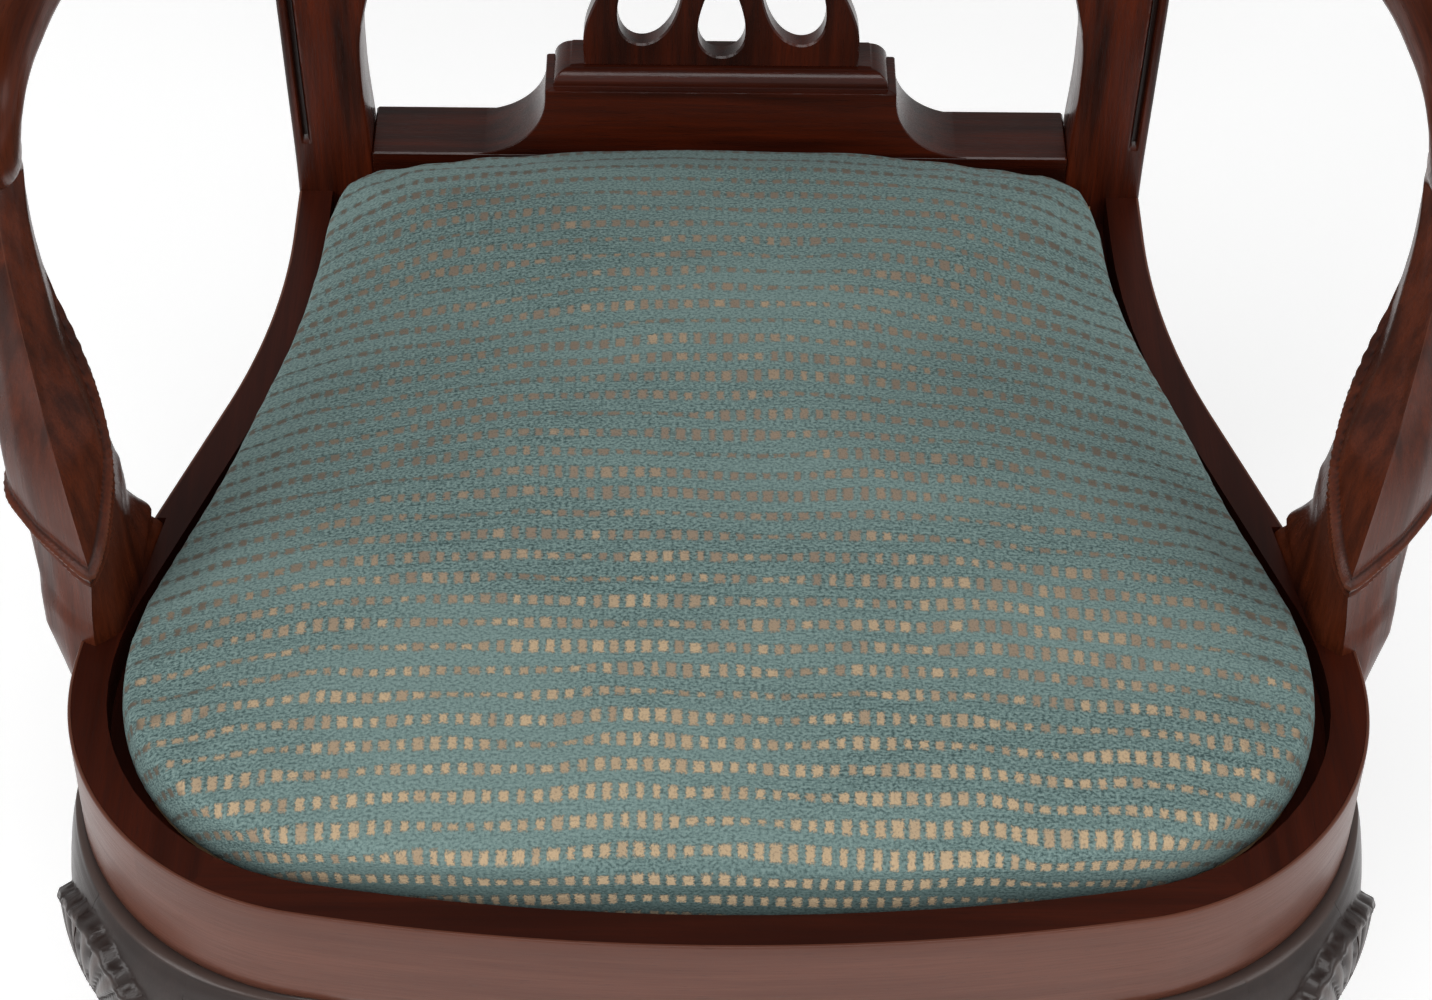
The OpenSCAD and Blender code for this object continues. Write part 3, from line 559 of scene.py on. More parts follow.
def edgeStrip(s0, s1, profile, spacing=2.0):
    # a profile of (inset, height) carried along the outline
    s = np.linspace(s0, s1, max(3, int(abs(s1 - s0) / spacing)))
    p, n = onEdge(s)
    d, z = np.array(profile, float).T
    x, y = (p[:, i:i + 1] - n[:, i:i + 1] * d for i in (0, 1))
    return skin(stack(x, y, z), stack(s[:, None], z, d))


veneerProfile = [(1.5, seat["railLow"]), (0.4, seat["railLow"]), (0, seat["railLow"] + 0.4)] + \
    [(0, z) for z in np.linspace(seat["railLow"] + 6, seat["rim"] - 1.2, 8)] + \
    [(0.1, seat["rim"] - 0.6), (0.4, seat["rim"] - 0.15), (0.9, seat["rim"]), (1.5, seat["rim"])]
supportY = seat["front"] + 214
addPiece("frontVeneerSkin", [edgeStrip(-legAt, legAt, veneerProfile)], ["front_veneer"], "veneer", 50)
bothSides("sideVeneer", "side_veneer", [edgeStrip(legAt, edgeAtY(supportY - 40), veneerProfile),
    edgeStrip(edgeAtY(supportY + 38.5), edgeLength[-1], veneerProfile)], "veneer", 50)
print("veneers made")

# front legs, turned 45 degrees, u points outwards and v along the seat

legSet = {"rows": [[52, 8, 21, 21], [64, 1, 19, 19], [82, -5, 16, 16], [110, -7, 17, 17],
    [150, -5, 19, 19], [200, 0, 22, 22], [245, 8, 28, 27], [270, 12, 33, 31],
    [300, 12, 37, 35], [330, 12, 39, 36], [372, 2, 36, 36]],
    "flat": 34.0, "proud": 1.8, "ball": 34.0, "ballOut": 16.0,
    "bulgeZ": [240, 270, 300, 318, 335, 350, 361, 368, 371, 372],
    "bulge": [2, 8, 12.5, 15.5, 16.5, 14.5, 10, 5.5, 2.4, 0],
    "reach": 78.0, "shellFoot": 311.0, "shellSize": 50.0, "shellShift": 22.0, "flutes": 27}


def kneeBulge(v, z):
    # how far the knee stands out from the rail face, fading along the rail
    return smoothTable(z, legSet["bulgeZ"], legSet["bulge"]) * np.exp(-(v / legSet["reach"]) ** 2)


def shellRelief(v, z):
    # a fan: polar coordinates about the foot of the shell; flutes are the size of a cosine of
    # the angle, the rim is scalloped with a raised line and a row of pearls
    q = legSet
    v, z = v - q["shellShift"], z - q["shellFoot"]
    r, a = np.hypot(v, z), np.arctan2(v, z)
    lobes = np.abs(np.cos(a * q["flutes"] / 2))
    size = q["shellSize"] * (1 - 0.14 * (a / 1.9) ** 2) + 1.8 * lobes
    inside = step(size - r, -0.6, 1.0) * step(2.0 - np.abs(a), -0.1, 0.15)
    fan = step(size - 1.5 - r, 0, 2)
    flute = 2.6 * (lobes ** 0.5 - 0.7)
    rimLine = 0.5 * np.exp(-((r - size + 2.4) / 1.4) ** 2)
    pearls = 1.6 * np.exp(-((r - size + 3.5) / 1.9) ** 2 - ((np.cos(a * q["flutes"]) + 1) / 0.9) ** 2)
    body = 6.0 * np.sqrt(np.clip(r / size, 0, 1))
    # the second value is painted light: flute ridges paler as painted highlights, the hollows between them
    # darker as painted shade
    return inside * (body + fan * flute + rimLine + pearls), inside * (0.75 * fan * (lobes - 0.62) + 0.08)


def legShell(q):
    z = np.concatenate([np.linspace(50, 250, 80), np.linspace(251, seat["railLow"], 150)])
    rows = curveThrough(q["rows"], 2000)
    table = [np.interp(z, rows[:, 0], rows[:, i]) for i in (1, 2, 3)]
    phi = np.linspace(-np.pi, np.pi, 180, endpoint=False)[None, :]
    cu, hu, hv = (t[:, None] for t in table)
    power = 2.5
    c, s = np.cos(phi), np.sin(phi)
    low = (np.abs(c / hu) ** power + np.abs(s / hv) ** power) ** (-1 / power)
    # upper part: flat sides at v = +-flat, a flat back, and the front on the rail's own arc
    far, onArc = 40.0, 40 * s
    for _ in range(6):
        radius = seat["corner"] + q["proud"] * step(seat["railLow"] - z[:, None], 0, 1.6) \
            + kneeBulge(onArc, z[:, None])
        onArc = far * s * seat["corner"] / radius
        far = -legRay * c + np.sqrt(radius ** 2 - (legRay * s) ** 2)
    sides = q["flat"] / np.maximum(np.abs(s), 1e-6)
    back = np.where(c < 0, 32 / np.maximum(-c, 1e-6), 1e6)
    high = np.minimum(np.minimum(far, sides), back)
    blend = step(z, 258, 296)[:, None]
    u = (cu + low * c) * (1 - blend) + high * c * blend
    v = low * s * (1 - blend) + high * s * blend
    front = step(c, -0.15, 0.25)
    relief, paintedLit = shellRelief(v * (1 - blend) + onArc * blend, z[:, None])
    share = relief * front / np.hypot(u + legRay, v)
    edge = q["flat"] + 0.3
    rings = stack(u + share * (u + legRay), np.clip(v + share * v, -edge, edge), z[:, None])
    # painted light: the shell's painted highlights and shade, plus a painted highlight along the top arris
    # under the rail
    wear = 0.5 + front * paintedLit + 0.5 * np.exp(-((z[:, None] - seat["railLow"] + 1.5) / 1.3) ** 2)
    return skin(rings, rings[..., [2, 0, 1]], wear)


def ballShell(q):
    # a sphere flattened where it stands, its top inside the ankle
    lat = np.linspace(-np.pi / 2 + 0.29, np.pi / 2 - 0.05, 34)[:, None]
    lon = np.linspace(0, 2 * np.pi, 56, endpoint=False)[None, :]
    r = q["ball"]
    rings = stack(q["ballOut"] + r * np.cos(lat) * np.cos(lon), r * np.cos(lat) * np.sin(lon),
        r - 1.5 + r * np.sin(lat))
    rings[0, :, 2] = 0
    return skin(rings, rings[..., [2, 0, 1]])


def toeShell(q, turn):
    # a bent tube over the ball: thick at three knuckles, thinning to a claw near the floor
    t = np.linspace(0, 1, 48)
    e = np.radians(66 - 128 * t)
    r = q["ball"] - 1.5 + 2.5 * np.sin(np.pi * t)
    k = (7.2 + 1.9 * np.cos(2 * np.pi * (t * 2.6 + 0.08)) * (1 - t) - 1.2 * t) * (1 - 0.55
        * step(t, 0.78, 1))
    around = np.linspace(0, 2 * np.pi, 20, endpoint=False)
    reach = r[:, None] + 0.95 * k[:, None] * np.cos(around)
    out, side = reach * np.cos(e)[:, None], k[:, None] * np.sin(around)
    z = q["ball"] - 1.5 + reach * np.sin(e)[:, None]
    c, s = math.cos(turn), math.sin(turn)
    rings = stack(q["ballOut"] + out * c - side * s, out * s + side * c, np.maximum(z, 0))
    return skin(rings, rings[..., [2, 0, 1]])


def placeLeg(shell):
    # from leg coordinates (u, v, z) to the frame: turn by -45 degrees and move to the leg
    points, faces, grain, wear = shell
    h = math.sqrt(0.5)
    x, y = legX + h * (points[:, 0] + points[:, 1]), legY + h * (points[:, 1] - points[:, 0])
    return stack(x, y, points[:, 2]), faces, grain, wear


legShells = [placeLeg(s) for s in [legShell(legSet), ballShell(legSet)]
    + [toeShell(legSet, i * math.pi / 2) for i in range(4)]]
bothSides("frontLeg", "front_leg", legShells, "carved", 45)
print("front legs made")


def kneeBlock(sign, length):
    # from the leg's flat side along the rail, carrying the knee's swelling and the shell's wings;
    # the lower edge sweeps up as the square of the distance
    s = np.linspace(30.8, 30.8 + length, 130)
    t = (s - s[0]) / length
    p, n = onEdge(legAt + sign * s)
    v = sign * seat["corner"] * np.sin(s / seat["corner"])
    drop = 8 + 64 * (1 - t) ** 2
    q = np.concatenate([np.linspace(0, 0.16, 14), np.linspace(0.2, 1, 50)])
    z = seat["railLow"] - drop[:, None] * q[None, :]
    fade = (1 - step(t, 0.6, 1.0))[:, None]
    relief, paintedLit = shellRelief(v[:, None], z)
    out = (legSet["proud"] * step(seat["railLow"] - z, 0, 1.6)
        + kneeBulge(v[:, None], z)) * fade + relief + 0.12
    d = -out * (1 - 0.6 * step(q, 0.86, 1.0)[None, :]) + 2.0 * step(q, 0.9, 1.0)[None, :]
    # painted light: the shell's painted highlights and shade, plus a painted highlight along the top arris
    # under the rail
    wear = 0.5 + paintedLit + 0.5 * np.exp(-(z - seat["railLow"] + 1.2) ** 2)
    column = np.ones((len(s), 1))
    d = np.concatenate([d, 33.0 * column, 33.0 * column], 1)
    wear = np.concatenate([wear, 0.5 * column, 0.5 * column], 1)
    z = np.concatenate([z, z[:, -1:], seat["railLow"] * column], 1)
    x, y = (p[:, i:i + 1] - n[:, i:i + 1] * d for i in (0, 1))
    return [skin(stack(x, y, z), stack(s[:, None], z, d), wear)]


bothSides("kneeBlockFront", "knee_block_front", kneeBlock(-1, 88), "carved", 45)
bothSides("kneeBlockSide", "knee_block_side", kneeBlock(1, 88), "carved", 45)

# back posts, crest rail, back rail and shoe

backSet = {"lean": 79.0, "rake": 62.0, "depth": 38.0, "topDepth": 24.0, "footDepth": 36.0,
    "height": cadBox[1][2] * 1000, "crestDrop": 75.0}
crestZ = backSet["height"] - backSet["crestDrop"]


def leanAt(z):
    # backward offset of the posts: a power 1.5 of the height above 520 or below the rail
    b = backSet
    up = b["lean"] * np.clip((z - 520) / (b["height"] - 520), 0, None) ** 1.5
    down = b["rake"] * np.clip((seat["railLow"] - z) / seat["railLow"], 0, None) ** 1.5
    return up + down


def postDepth(z):
    b = backSet
    return np.interp(z, [0, seat["railLow"], 520, crestZ],
        [b["footDepth"], b["depth"], b["depth"], b["topDepth"]])


postRows = np.array([[0, -35, -7], [190, -37, -3.5], [372, -39.5, 0], [450, -39.5, 0.3], [500, -37, 1.6],
    [530, -38, 2.4], [552, -42.5, 3.2], [570, -46.5, 3.6], [590, -40, 4.5], [618, -30.5, 6],
    [700, -29.5, 9], [800, -27.5, 13], [900, -25, 19], [930, -24, 21.5]])


def postShell():
    # a rounded rectangle swept up the post; near its outer front edge a stopped groove is cut
    z = np.unique(np.concatenate([np.linspace(0, crestZ, 150), np.linspace(455, 640, 90),
        np.linspace(890, 905, 10)]))
    inner = seat["backHalf"] + smoothTable(z, postRows[:, 0], postRows[:, 1])
    outer = seat["backHalf"] + smoothTable(z, postRows[:, 0], postRows[:, 2])
    t = 1 - (1 - np.linspace(0, 1, 90)) ** 1.6
    x = inner[:, None] + (outer - inner)[:, None] * t[None, :]

    def rounded(x, r):
        near = np.clip(r - np.minimum(x - inner[:, None], outer[:, None] - x), 0, r)
        return r - np.sqrt(r * r - near * near)

    fromEdge = outer[:, None] - x
    groove = 3.2 * np.exp(-((fromEdge - 6.6) / 1.9) ** 6) * (step(z, 462, 466) * step(902 - z, 0, 4))[:,
        None]
    front = seat["posts"] + leanAt(z)[:, None] + rounded(x, 1.8) + groove
    back = seat["posts"] + (leanAt(z) + postDepth(z))[:, None] - rounded(x, 5.0)
    rings = np.concatenate([stack(x, front, z[:, None]), stack(x, back, z[:, None])[:, ::-1]], 1)
    # painted shade darkens the groove
    wear = np.concatenate([0.5 - 0.5 * groove / 3.2, np.full_like(x, 0.5)], 1)
    return [skin(rings, rings[..., [2, 0, 1]], wear)]


bothSides("backPost", "back_post", postShell(), "post", 40)


def crestShell():
    # top and bottom lines are functions of x, the section between them a rounded rectangle
    half = seat["backHalf"] + 42
    x = half * np.sin(np.linspace(-np.pi / 2, np.pi / 2, 160))
    a = np.abs(x)
    end = np.sqrt(np.clip(1 - np.clip((a - half + 16) / 16, 0, 1) ** 2, 0, 1))
    top = backSet["height"] - 10 + 10 * np.cos(2 * np.pi * a / (half - 18))
    top = np.where(a > half - 18, backSet["height"] - 2 * ((a - half + 18) / 18) ** 2, top)
    arch = crestZ + 10 - 5 * (1 - np.cos(np.pi * np.clip((a - 90) / (seat["backHalf"] - 118), 0, 1)))
    rise = np.clip((a - seat["backHalf"] - 24) / (half - seat["backHalf"] - 24), 0, 1)
    bottom = arch + 48 * (1 - np.sqrt(1 - rise ** 2 * 0.98))
    mid = np.where(a > half - 16, backSet["height"] - 18, 0.5 * (top + bottom))
    top, bottom = mid + (top - mid) * end, mid + (bottom - mid) * end
    k = np.linspace(0, 2 * np.pi, 64, endpoint=False)
    sz = np.sign(np.sin(k)) * np.abs(np.sin(k)) ** 0.22
    sy = np.sign(np.cos(k)) * np.abs(np.cos(k)) ** 0.35
    z = 0.5 * (top + bottom)[:, None] + 0.5 * (top - bottom)[:, None] * sz
    thick = 13 * (0.35 + 0.65 * end)
    y = seat["posts"] + leanAt(z) + 13 + thick[:, None] * sy
    return [skin(stack(x[:, None], y, z))]


addPiece("crestRailSkin", crestShell(), ["crest_rail"], sharp=50)


shoeSet = {"ledge": railHigh[2] + 6, "deep": 37.0, "hollow": 33.0, "half": 128.0, "top": 90.0,
    "rake": 5.0, "lip": 4.0, "nosing": 8.0}


def roundedRing(hx, front, back, r=0.8):
    # for each ring, a rectangle from -hx to hx and front to back with corners of radius r
    corner = np.linspace(0, np.pi / 2, 5)
    hx, front = np.broadcast_arrays(hx, front)
    loops = []
    for sx, atFront, turn in ((1, True, -corner), (-1, True, -np.pi / 2 - corner),
            (-1, False, np.pi - corner), (1, False, np.pi / 2 - corner)):
        cx = sx * (hx - r)
        cy = (front + r) if atFront else np.full(hx.shape, back - r)
        loops.append(stack(cx[:, None] + r * np.cos(turn), cy[:, None] + r * np.sin(turn)))
    return np.concatenate(loops, 1)


def railShell(q):
    # a long rounded block between the posts, and a lower one reaching under the loose seat
    shells = []
    for half, front, back, low, high in (
            (seat["backHalf"] - 39.5, 0.0, q["deep"] + 1, seat["railLow"], q["ledge"]),
            (seat["backHalf"] - 46, -30.0, 1.0, seat["railLow"], railRebate)):
        z = np.array([low, low + 0.8, high - 0.8, high])
        inset = np.array([0.8, 0, 0, 0.8])
        xy = roundedRing(half - inset * (front >= 0), front + inset, back)
        shells.append(skin(stack(xy[..., 0], seat["posts"] + xy[..., 1], z[:, None])))
    return shells


def shoeShell(q):
    # rings of a rounded rectangle: hollow ends, a stepped fillet, then a nosing with mitred ends
    z0, h = q["ledge"] - 0.4, q["hollow"]
    rows = [(z0 + h - h * math.sin(a), q["half"] - (q["half"] - q["top"]) * math.cos(a),
        q["rake"] * (1 - math.sin(a)))
        for a in np.linspace(0, np.pi / 2, 26)[::-1]]
    z1, f = z0 + h + 4.0, q["rake"] + 0.4
    rows += [(z1 - 0.3, q["top"], f), (z1, q["top"] - 0.4, f + 0.4),
        (z1 + 0.1, q["top"] - q["lip"], f + q["lip"]),
        (z1 + 0.7, q["top"] - q["lip"] - 0.2, f + q["lip"] + 0.2)]
    f += q["lip"] + 0.2
    n = q["nosing"]
    rows += [(z1 + 0.7 + n * math.sin(a), q["top"] - q["lip"] - 8.5 + 8.3 * math.cos(a),
        f + 6.0 - 6.0 * math.cos(a))
        for a in np.linspace(0.05, math.pi / 2, 20)]
    z, hx, front = np.array(rows + [(z1 + n + 1.2, q["top"] - q["lip"] - 9.3, f + 6.8)]).T
    xy = roundedRing(hx, front, q["deep"])
    return [skin(stack(xy[..., 0], seat["posts"] + xy[..., 1], z[:, None]))], z[-1]


railRebate = railLow[2] + 40
addPiece("backRailSkin", railShell(shoeSet), ["back_rail"], sharp=30)
shoeShells, shoeTop = shoeShell(shoeSet)
addPiece("shoeSkin", shoeShells, ["shoe"], sharp=30)
print("back made")

# the splat, an outline with openings, filled, given thickness and bent to the lean of the back

splatSet = {"foot": shoeTop - 0.3, "head": crestZ + 10, "thick": 10.0, "behind": 16.0, "edge": 0.9,
    "rows": [[0, 70], [0.045, 70], [0.085, 65], [0.16, 50], [0.24, 44], [0.33, 52], [0.46, 78],
    [0.58, 92], [0.68, 86], [0.78, 66], [0.88, 58], [0.95, 66], [1, 80]]}


def eye(x, z, a, b, k, turn):
    # an egg: half width a, half height b, fuller below when k is positive, leaned by turn degrees
    t = np.linspace(0, 2 * np.pi, 72, endpoint=False)
    p = stack(a * np.sin(t) * (1 + k * np.cos(t)), -b * np.cos(t))
    c, s = math.cos(math.radians(turn)), math.sin(math.radians(turn))
    return stack(x + c * p[:, 0] - s * p[:, 1], z + s * p[:, 0] + c * p[:, 1])


def splatLoops(q):
    z0, h = q["foot"], q["head"] - q["foot"]
    side = curveThrough(q["rows"], 120)
    right = stack(side[:, 1], z0 + h * side[:, 0])
    loops = [np.concatenate([right, right[::-1] * (-1, 1)])]
    loops += [eye(0, z0 + f * h, a, b, k, 0) for f, a, b, k in
        ((0.073, 11, 26, 0.5), (0.43, 12, 46, -0.3), (0.68, 17, 40, 0.2), (0.88, 13, 26, -0.4))]
    for s in (-1, 1):
        loops += [eye(s * x, z0 + f * h, a, b, k, s * turn) for x, f, a, b, k, turn in
            ((33, 0.125, 14, 42, 0.45, 14), (36, 0.47, 14, 52, -0.35, -17),
            (56, 0.61, 13, 44, 0, -6), (34, 0.84, 10, 38, 0.3, 14))]
    return loops


def loopNormal(loop):
    # outward unit normal at each point: the direction between its neighbours, turned by 90 degrees
    along = np.roll(loop, -1, 0) - np.roll(loop, 1, 0)
    along /= np.linalg.norm(along, axis=1, keepdims=True)
    return stack(along[:, 1], -along[:, 0])


def makeSplat(q):
    # each outline becomes a band with chamfered edges; flat faces fill the front and the back
    loops = splatLoops(q)
    half, e = q["thick"] / 2, q["edge"]
    points, faces, start, fronts, backs = [], [], 0, [], []
    for i, loop in enumerate(loops):
        area = 0.5 * (loop[:, 0] * np.roll(loop[:, 1], -1) - loop[:, 1] * np.roll(loop[:, 0], -1)).sum()
        loop = loop if (area > 0) == (i == 0) else loop[::-1]
        normal = loopNormal(loop)
        bands = [(loop - normal * e, -half), (loop, -half + e), (loop, half - e), (loop - normal * e, half)]
        n = len(loop)
        points += [np.concatenate([xz[:, :1], np.full((n, 1), t), xz[:, 1:]], 1) for xz, t in bands]
        faces += (ringFaces(4, n) + start).tolist()
        fronts.append(start + np.arange(n))
        backs.append(start + 3 * n + np.arange(n))
        start += 4 * n
    points = np.concatenate(points)
    for groups, turn in ((fronts, 1), (backs, -1)):
        flat = [[Vector((points[i, 0], points[i, 2], 0)) for i in group] for group in groups]
        order = np.concatenate(groups)
        faces += [[int(order[i]) for i in tri] for tri in tessellate_polygon(flat)]
    mesh = bpy.data.meshes.new("splatFlat")
    mesh.from_pydata(points.tolist(), [], faces)
    work = bmesh.new()
    work.from_mesh(mesh)
    for z in np.linspace(q["foot"] + 12, q["head"] - 6, 36):
        bmesh.ops.bisect_plane(work, geom=work.verts[:] + work.edges[:] + work.faces[:],
            plane_co=(0, 0, z), plane_no=(0, 0, 1))
    bmesh.ops.recalc_face_normals(work, faces=work.faces)
    work.to_mesh(mesh)
    work.free()
    co = readPoints(mesh)
    co[:, 1] += seat["posts"] + q["behind"] + half + leanAt(co[:, 2])
    faces = [list(p.vertices) for p in mesh.polygons]
    bpy.data.meshes.remove(mesh)
    addPiece("splatSkin", [(co, faces, co[:, [2, 0, 1]] * mm, None)], ["splat"], sharp=35)


makeSplat(splatSet)
print("splat made")

# arm supports

w = seat["half"]
joinZ = edges("arm_support_right")[1][2]
armTop = joinZ + 66
# corner order: ridge slot, outer front, outer, outer back, back, inner back, inner, inner front
footOrder = [[-9, -44], [5, -37], [18, -24], [18, 39], [-8, 39], [-25, 38], [-26, 2], [-20, -36]]
supportRows = [[478, -13, -48, -24, 24, -8, 36], [500, -10, -46, -22, 28, -12, 32],
    [531, -5, -40, -18.5, 30, -8, 30], [560, 3, -22, -5, 34, 12, 42], [590, 12, 2, 4.5, 39, 32, 56],
    [610, 18, 20, 9, 40, 44, 68], [628, 23, 40, 11, 39, 57, 75]]


def supportShell():
    # eight corners at each height, joined by straight sides, then softened by averaging
    rows = curveThrough(supportRows, 1200)
    z = np.unique(np.concatenate([np.linspace(seat["railLow"], 436, 26), np.linspace(436, 570, 150),
        np.linspace(570, joinZ, 40)]))
    rx, ry, xi, xo, ym, yb = (np.interp(z, rows[:, 0], rows[:, i]) for i in range(1, 7))

    def between(a, b, t): return a + (b - a) * t

    upper = np.stack([
        stack(rx, ry), stack(between(rx, xo, 0.62), between(ry, ym, 0.5)),
        stack(xo, ym), stack(between(xi, xo, 0.85), yb - 3),
        stack(between(xi, xo, 0.5), yb), stack(between(xi, xo, 0.15), yb - 3),
        stack(xi, ym), stack(between(rx, xi, 0.56), between(ry, ym, 0.5))], 1)
    foot = np.broadcast_to(np.array(footOrder, float), (len(z), 8, 2)).copy()
    limit = np.interp(z, [372, 378, 396, 425, 440], [0, 5, 11, 18, 18])
    foot[..., 0] = np.minimum(foot[..., 0], limit[:, None])
    foot[:, 5] += np.array([-7.0, 1.0]) * (1 - step(z, 428, 436))[:, None]
    # a small scroll at the inner back, with a hollow above it
    scroll = 3 * np.exp(-((z - 440) / 5) ** 2) - 11 * np.exp(-((z - 462) / 13) ** 2)
    foot[:, 5] += stack(-0.8 * scroll, 0.5 * scroll)
    t = step(z, 437, 486)[:, None, None]
    corners = foot * (1 - t) + upper * t
    k = 12
    f = (np.arange(k) / k)[None, None, :, None]
    ring = (corners[:, :, None] * (1 - f) + np.roll(corners, -1, 1)[:, :, None] * f).reshape(len(z),
        8 * k, 2)
    keep = np.zeros(8 * k)
    keep[0] = 1
    for _ in range(5):
        soft = 0.25 * np.roll(ring, 1, 1) + 0.5 * ring + 0.25 * np.roll(ring, -1, 1)
        ring = ring * 0.85 * keep[None, :, None] + soft * (1 - 0.85 * keep)[None, :, None]
    tangent = np.roll(ring, -1, 1) - np.roll(ring, 1, 1)
    normal = stack(tangent[..., 1], -tangent[..., 0])
    normal /= np.linalg.norm(normal, axis=-1, keepdims=True)
    # the bead bounds the two facets: lowest at the ridge, rising to both sides
    j = np.arange(8 * k)
    j = np.where(j > 4 * k, j - 8 * k, j)
    beadZ = smoothTable(j / k, [-3.4, -3, -2, -1, 0, 1, 2, 3, 3.4],
        [590, 560, 516, 491, 479, 486, 497, 532, 552])
    onFront = step(3.3 - np.abs(j / k), 0, 0.5)
    gap = np.linalg.norm(np.diff(ring, axis=1, append=ring[:, :1]), axis=-1).mean(0)
    off = (z[:, None] - beadZ) / np.hypot(1, np.gradient(beadZ) / np.maximum(gap, 0.5))
    bead = 2.3 * np.exp(-(off / 2.3) ** 2) + 1.5 * np.exp(-((off + 5.0) / 1.5) ** 2)
    under = -1.3 * step(-off, 6.0, 8.0) * step(46 + off, 0, 12)
    hollow = -1.4 * step(off, 1.5, 4.5) * step(120 - off, 0, 60)
    ring = ring + normal * ((bead + under + hollow) * onFront)[..., None]
    rings = stack(w + ring[..., 0], supportY + ring[..., 1], z[:, None])
    # painted light: the bead is lit as a painted highlight, the cuts beside it get painted shade, and a
    # painted highlight runs up the ridge
    cuts = 0.45 * np.exp(-((off + 2.8) / 0.8) ** 2) + 0.4 * np.exp(-((off - 3.6) / 1.2) ** 2)
    wear = 0.5 + (0.28 * bead / 2.3 - cuts) * onFront + 0.25 * (np.abs(j) < 0.5) * step(z, 480, 500)[:,
        None]
    return [skin(rings, rings[..., [2, 0, 1]], wear)], rings[-1]


supportShells, supportTop = supportShell()
bothSides("armSupport", "arm_support", supportShells, "support", 24)

# arms

wr, yp = seat["backHalf"], seat["posts"]
armRows = [[w + 24, supportY + 58, joinZ, 0, 14.5, 17], [w + 24, supportY + 50, joinZ + 10, 0, 15, 17],
    [w + 23.5, supportY + 38, joinZ + 24, 1, 16, 16], [w + 22, supportY + 29, joinZ + 38, 3, 17, 15],
    [w + 21, supportY + 31, joinZ + 53, 5, 18, 15], [w + 20, supportY + 46, joinZ + 63, 7, 19, 15],
    [w + 18, supportY + 72, armTop, 10, 20, 15], [w + 10, supportY + 114, armTop, 16, 19, 15],
    [w - 10, supportY + 172, armTop - 2, 22, 17, 15], [wr + 27, yp - 48, armTop - 6, 24, 16, 15],
    [wr + 4, yp - 2, armTop - 10, 25, 15, 16], [wr - 10, yp + 30, armTop - 11, 24, 15, 17]]


def armShell():
    # the support's top outline is carried up level, turning into a rounded section that
    # follows the arm's course with its width always level
    rows = curveThrough(armRows, 240)
    centre = rows[:, :3]
    tangent = np.gradient(centre, axis=0)
    tangent /= np.linalg.norm(tangent, axis=1, keepdims=True)
    a = np.radians(rows[:, 3])
    side = stack(np.cos(a), np.sin(a), 0 * a)
    up = np.cross(tangent, side)
    up /= np.linalg.norm(up, axis=1, keepdims=True)
    m = len(supportTop)
    t = np.linspace(0, 2 * np.pi, m, endpoint=False) - np.pi / 2
    c, d = np.cos(t), np.sin(t)
    p = rows[:, 4:5] * np.sign(c) * np.abs(c) ** 0.8
    q = rows[:, 5:6] * np.sign(d) * np.abs(d) ** 0.8
    section = side[:, None] * p[..., None] + up[:, None] * q[..., None]
    level = supportTop - supportTop.mean(0)
    along = np.concatenate([[0], np.cumsum(np.linalg.norm(np.diff(centre, axis=0), axis=1))])
    blend = step(along, 0, 34)[:, None, None]
    start = (supportTop.mean(0) - centre[0])[None, None] * (1 - step(along, 0, 20))[:, None, None]
    rings = centre[:, None] + start + level[None] * (1 - blend) + section * blend
    return [skin(rings, stack(along[:, None], p, q))]


bothSides("arm", "arm", armShell(), "support", 60)
print("arms made")

# the loose seat

cushionSet = {"front": 448.0, "side": 446.0, "corner": 446.0, "back": 472.0, "crown": 485.0, "peak": 10.0,
    "low": 413.6, "swell": 5.0, "settle": 3.0, "voxel": 0.0048, "pressure": 4.0, "frames": 18,
    "cap": 2.6, "backCorner": 18.0}


def cushionOutline(q):
    # the seat outline moved in by rim and gap, its back corners rounded, closed on both sides
    inset = seat["rimWidth"] + seat["gap"] - 0.6
    p = edgePlace - edgeNormal * inset
    backY, r = seat["posts"] - seat["gap"] + 1, q["backCorner"]
    p = p[p[:, 1] < backY - r]
    cx, cy = p[-1, 0] - r, backY - r
    t = np.linspace(0, np.pi / 2, 30)
    p = np.concatenate([p, stack(cx + r * np.cos(t), cy + r * np.sin(t)), [[0.0, backY]]])
    whole = np.concatenate([p, p[-2:0:-1] * (-1, 1)])
    closed = np.concatenate([whole, whole[:1]])
    length = np.concatenate([[0], np.cumsum(np.hypot(*np.diff(closed, axis=0).T))])
    s = np.linspace(0, length[-1], 360, endpoint=False)
    return np.stack([np.interp(s, length, closed[:, i]) for i in (0, 1)], -1), backY


def cushionEdge(q, x, y, backY):
    # height of the edge: level round the front and sides, domed along the back
    rel = (y - seat["front"]) / (seat["posts"] - seat["front"])
    level = np.interp(rel, [0.05, 0.2, 0.45, 0.8, 0.93], [q["front"], q["side"] + 0.5, q["side"],
        q["side"] + 2, q["corner"] + 1])
    dome = q["corner"] + (q["back"] - q["corner"]) * (1 - np.clip(np.abs(x) / 206, 0, 1) ** 2.2)
    behind = step(y, backY - 42, backY - 3)
    return level * (1 - behind) + dome * behind, behind


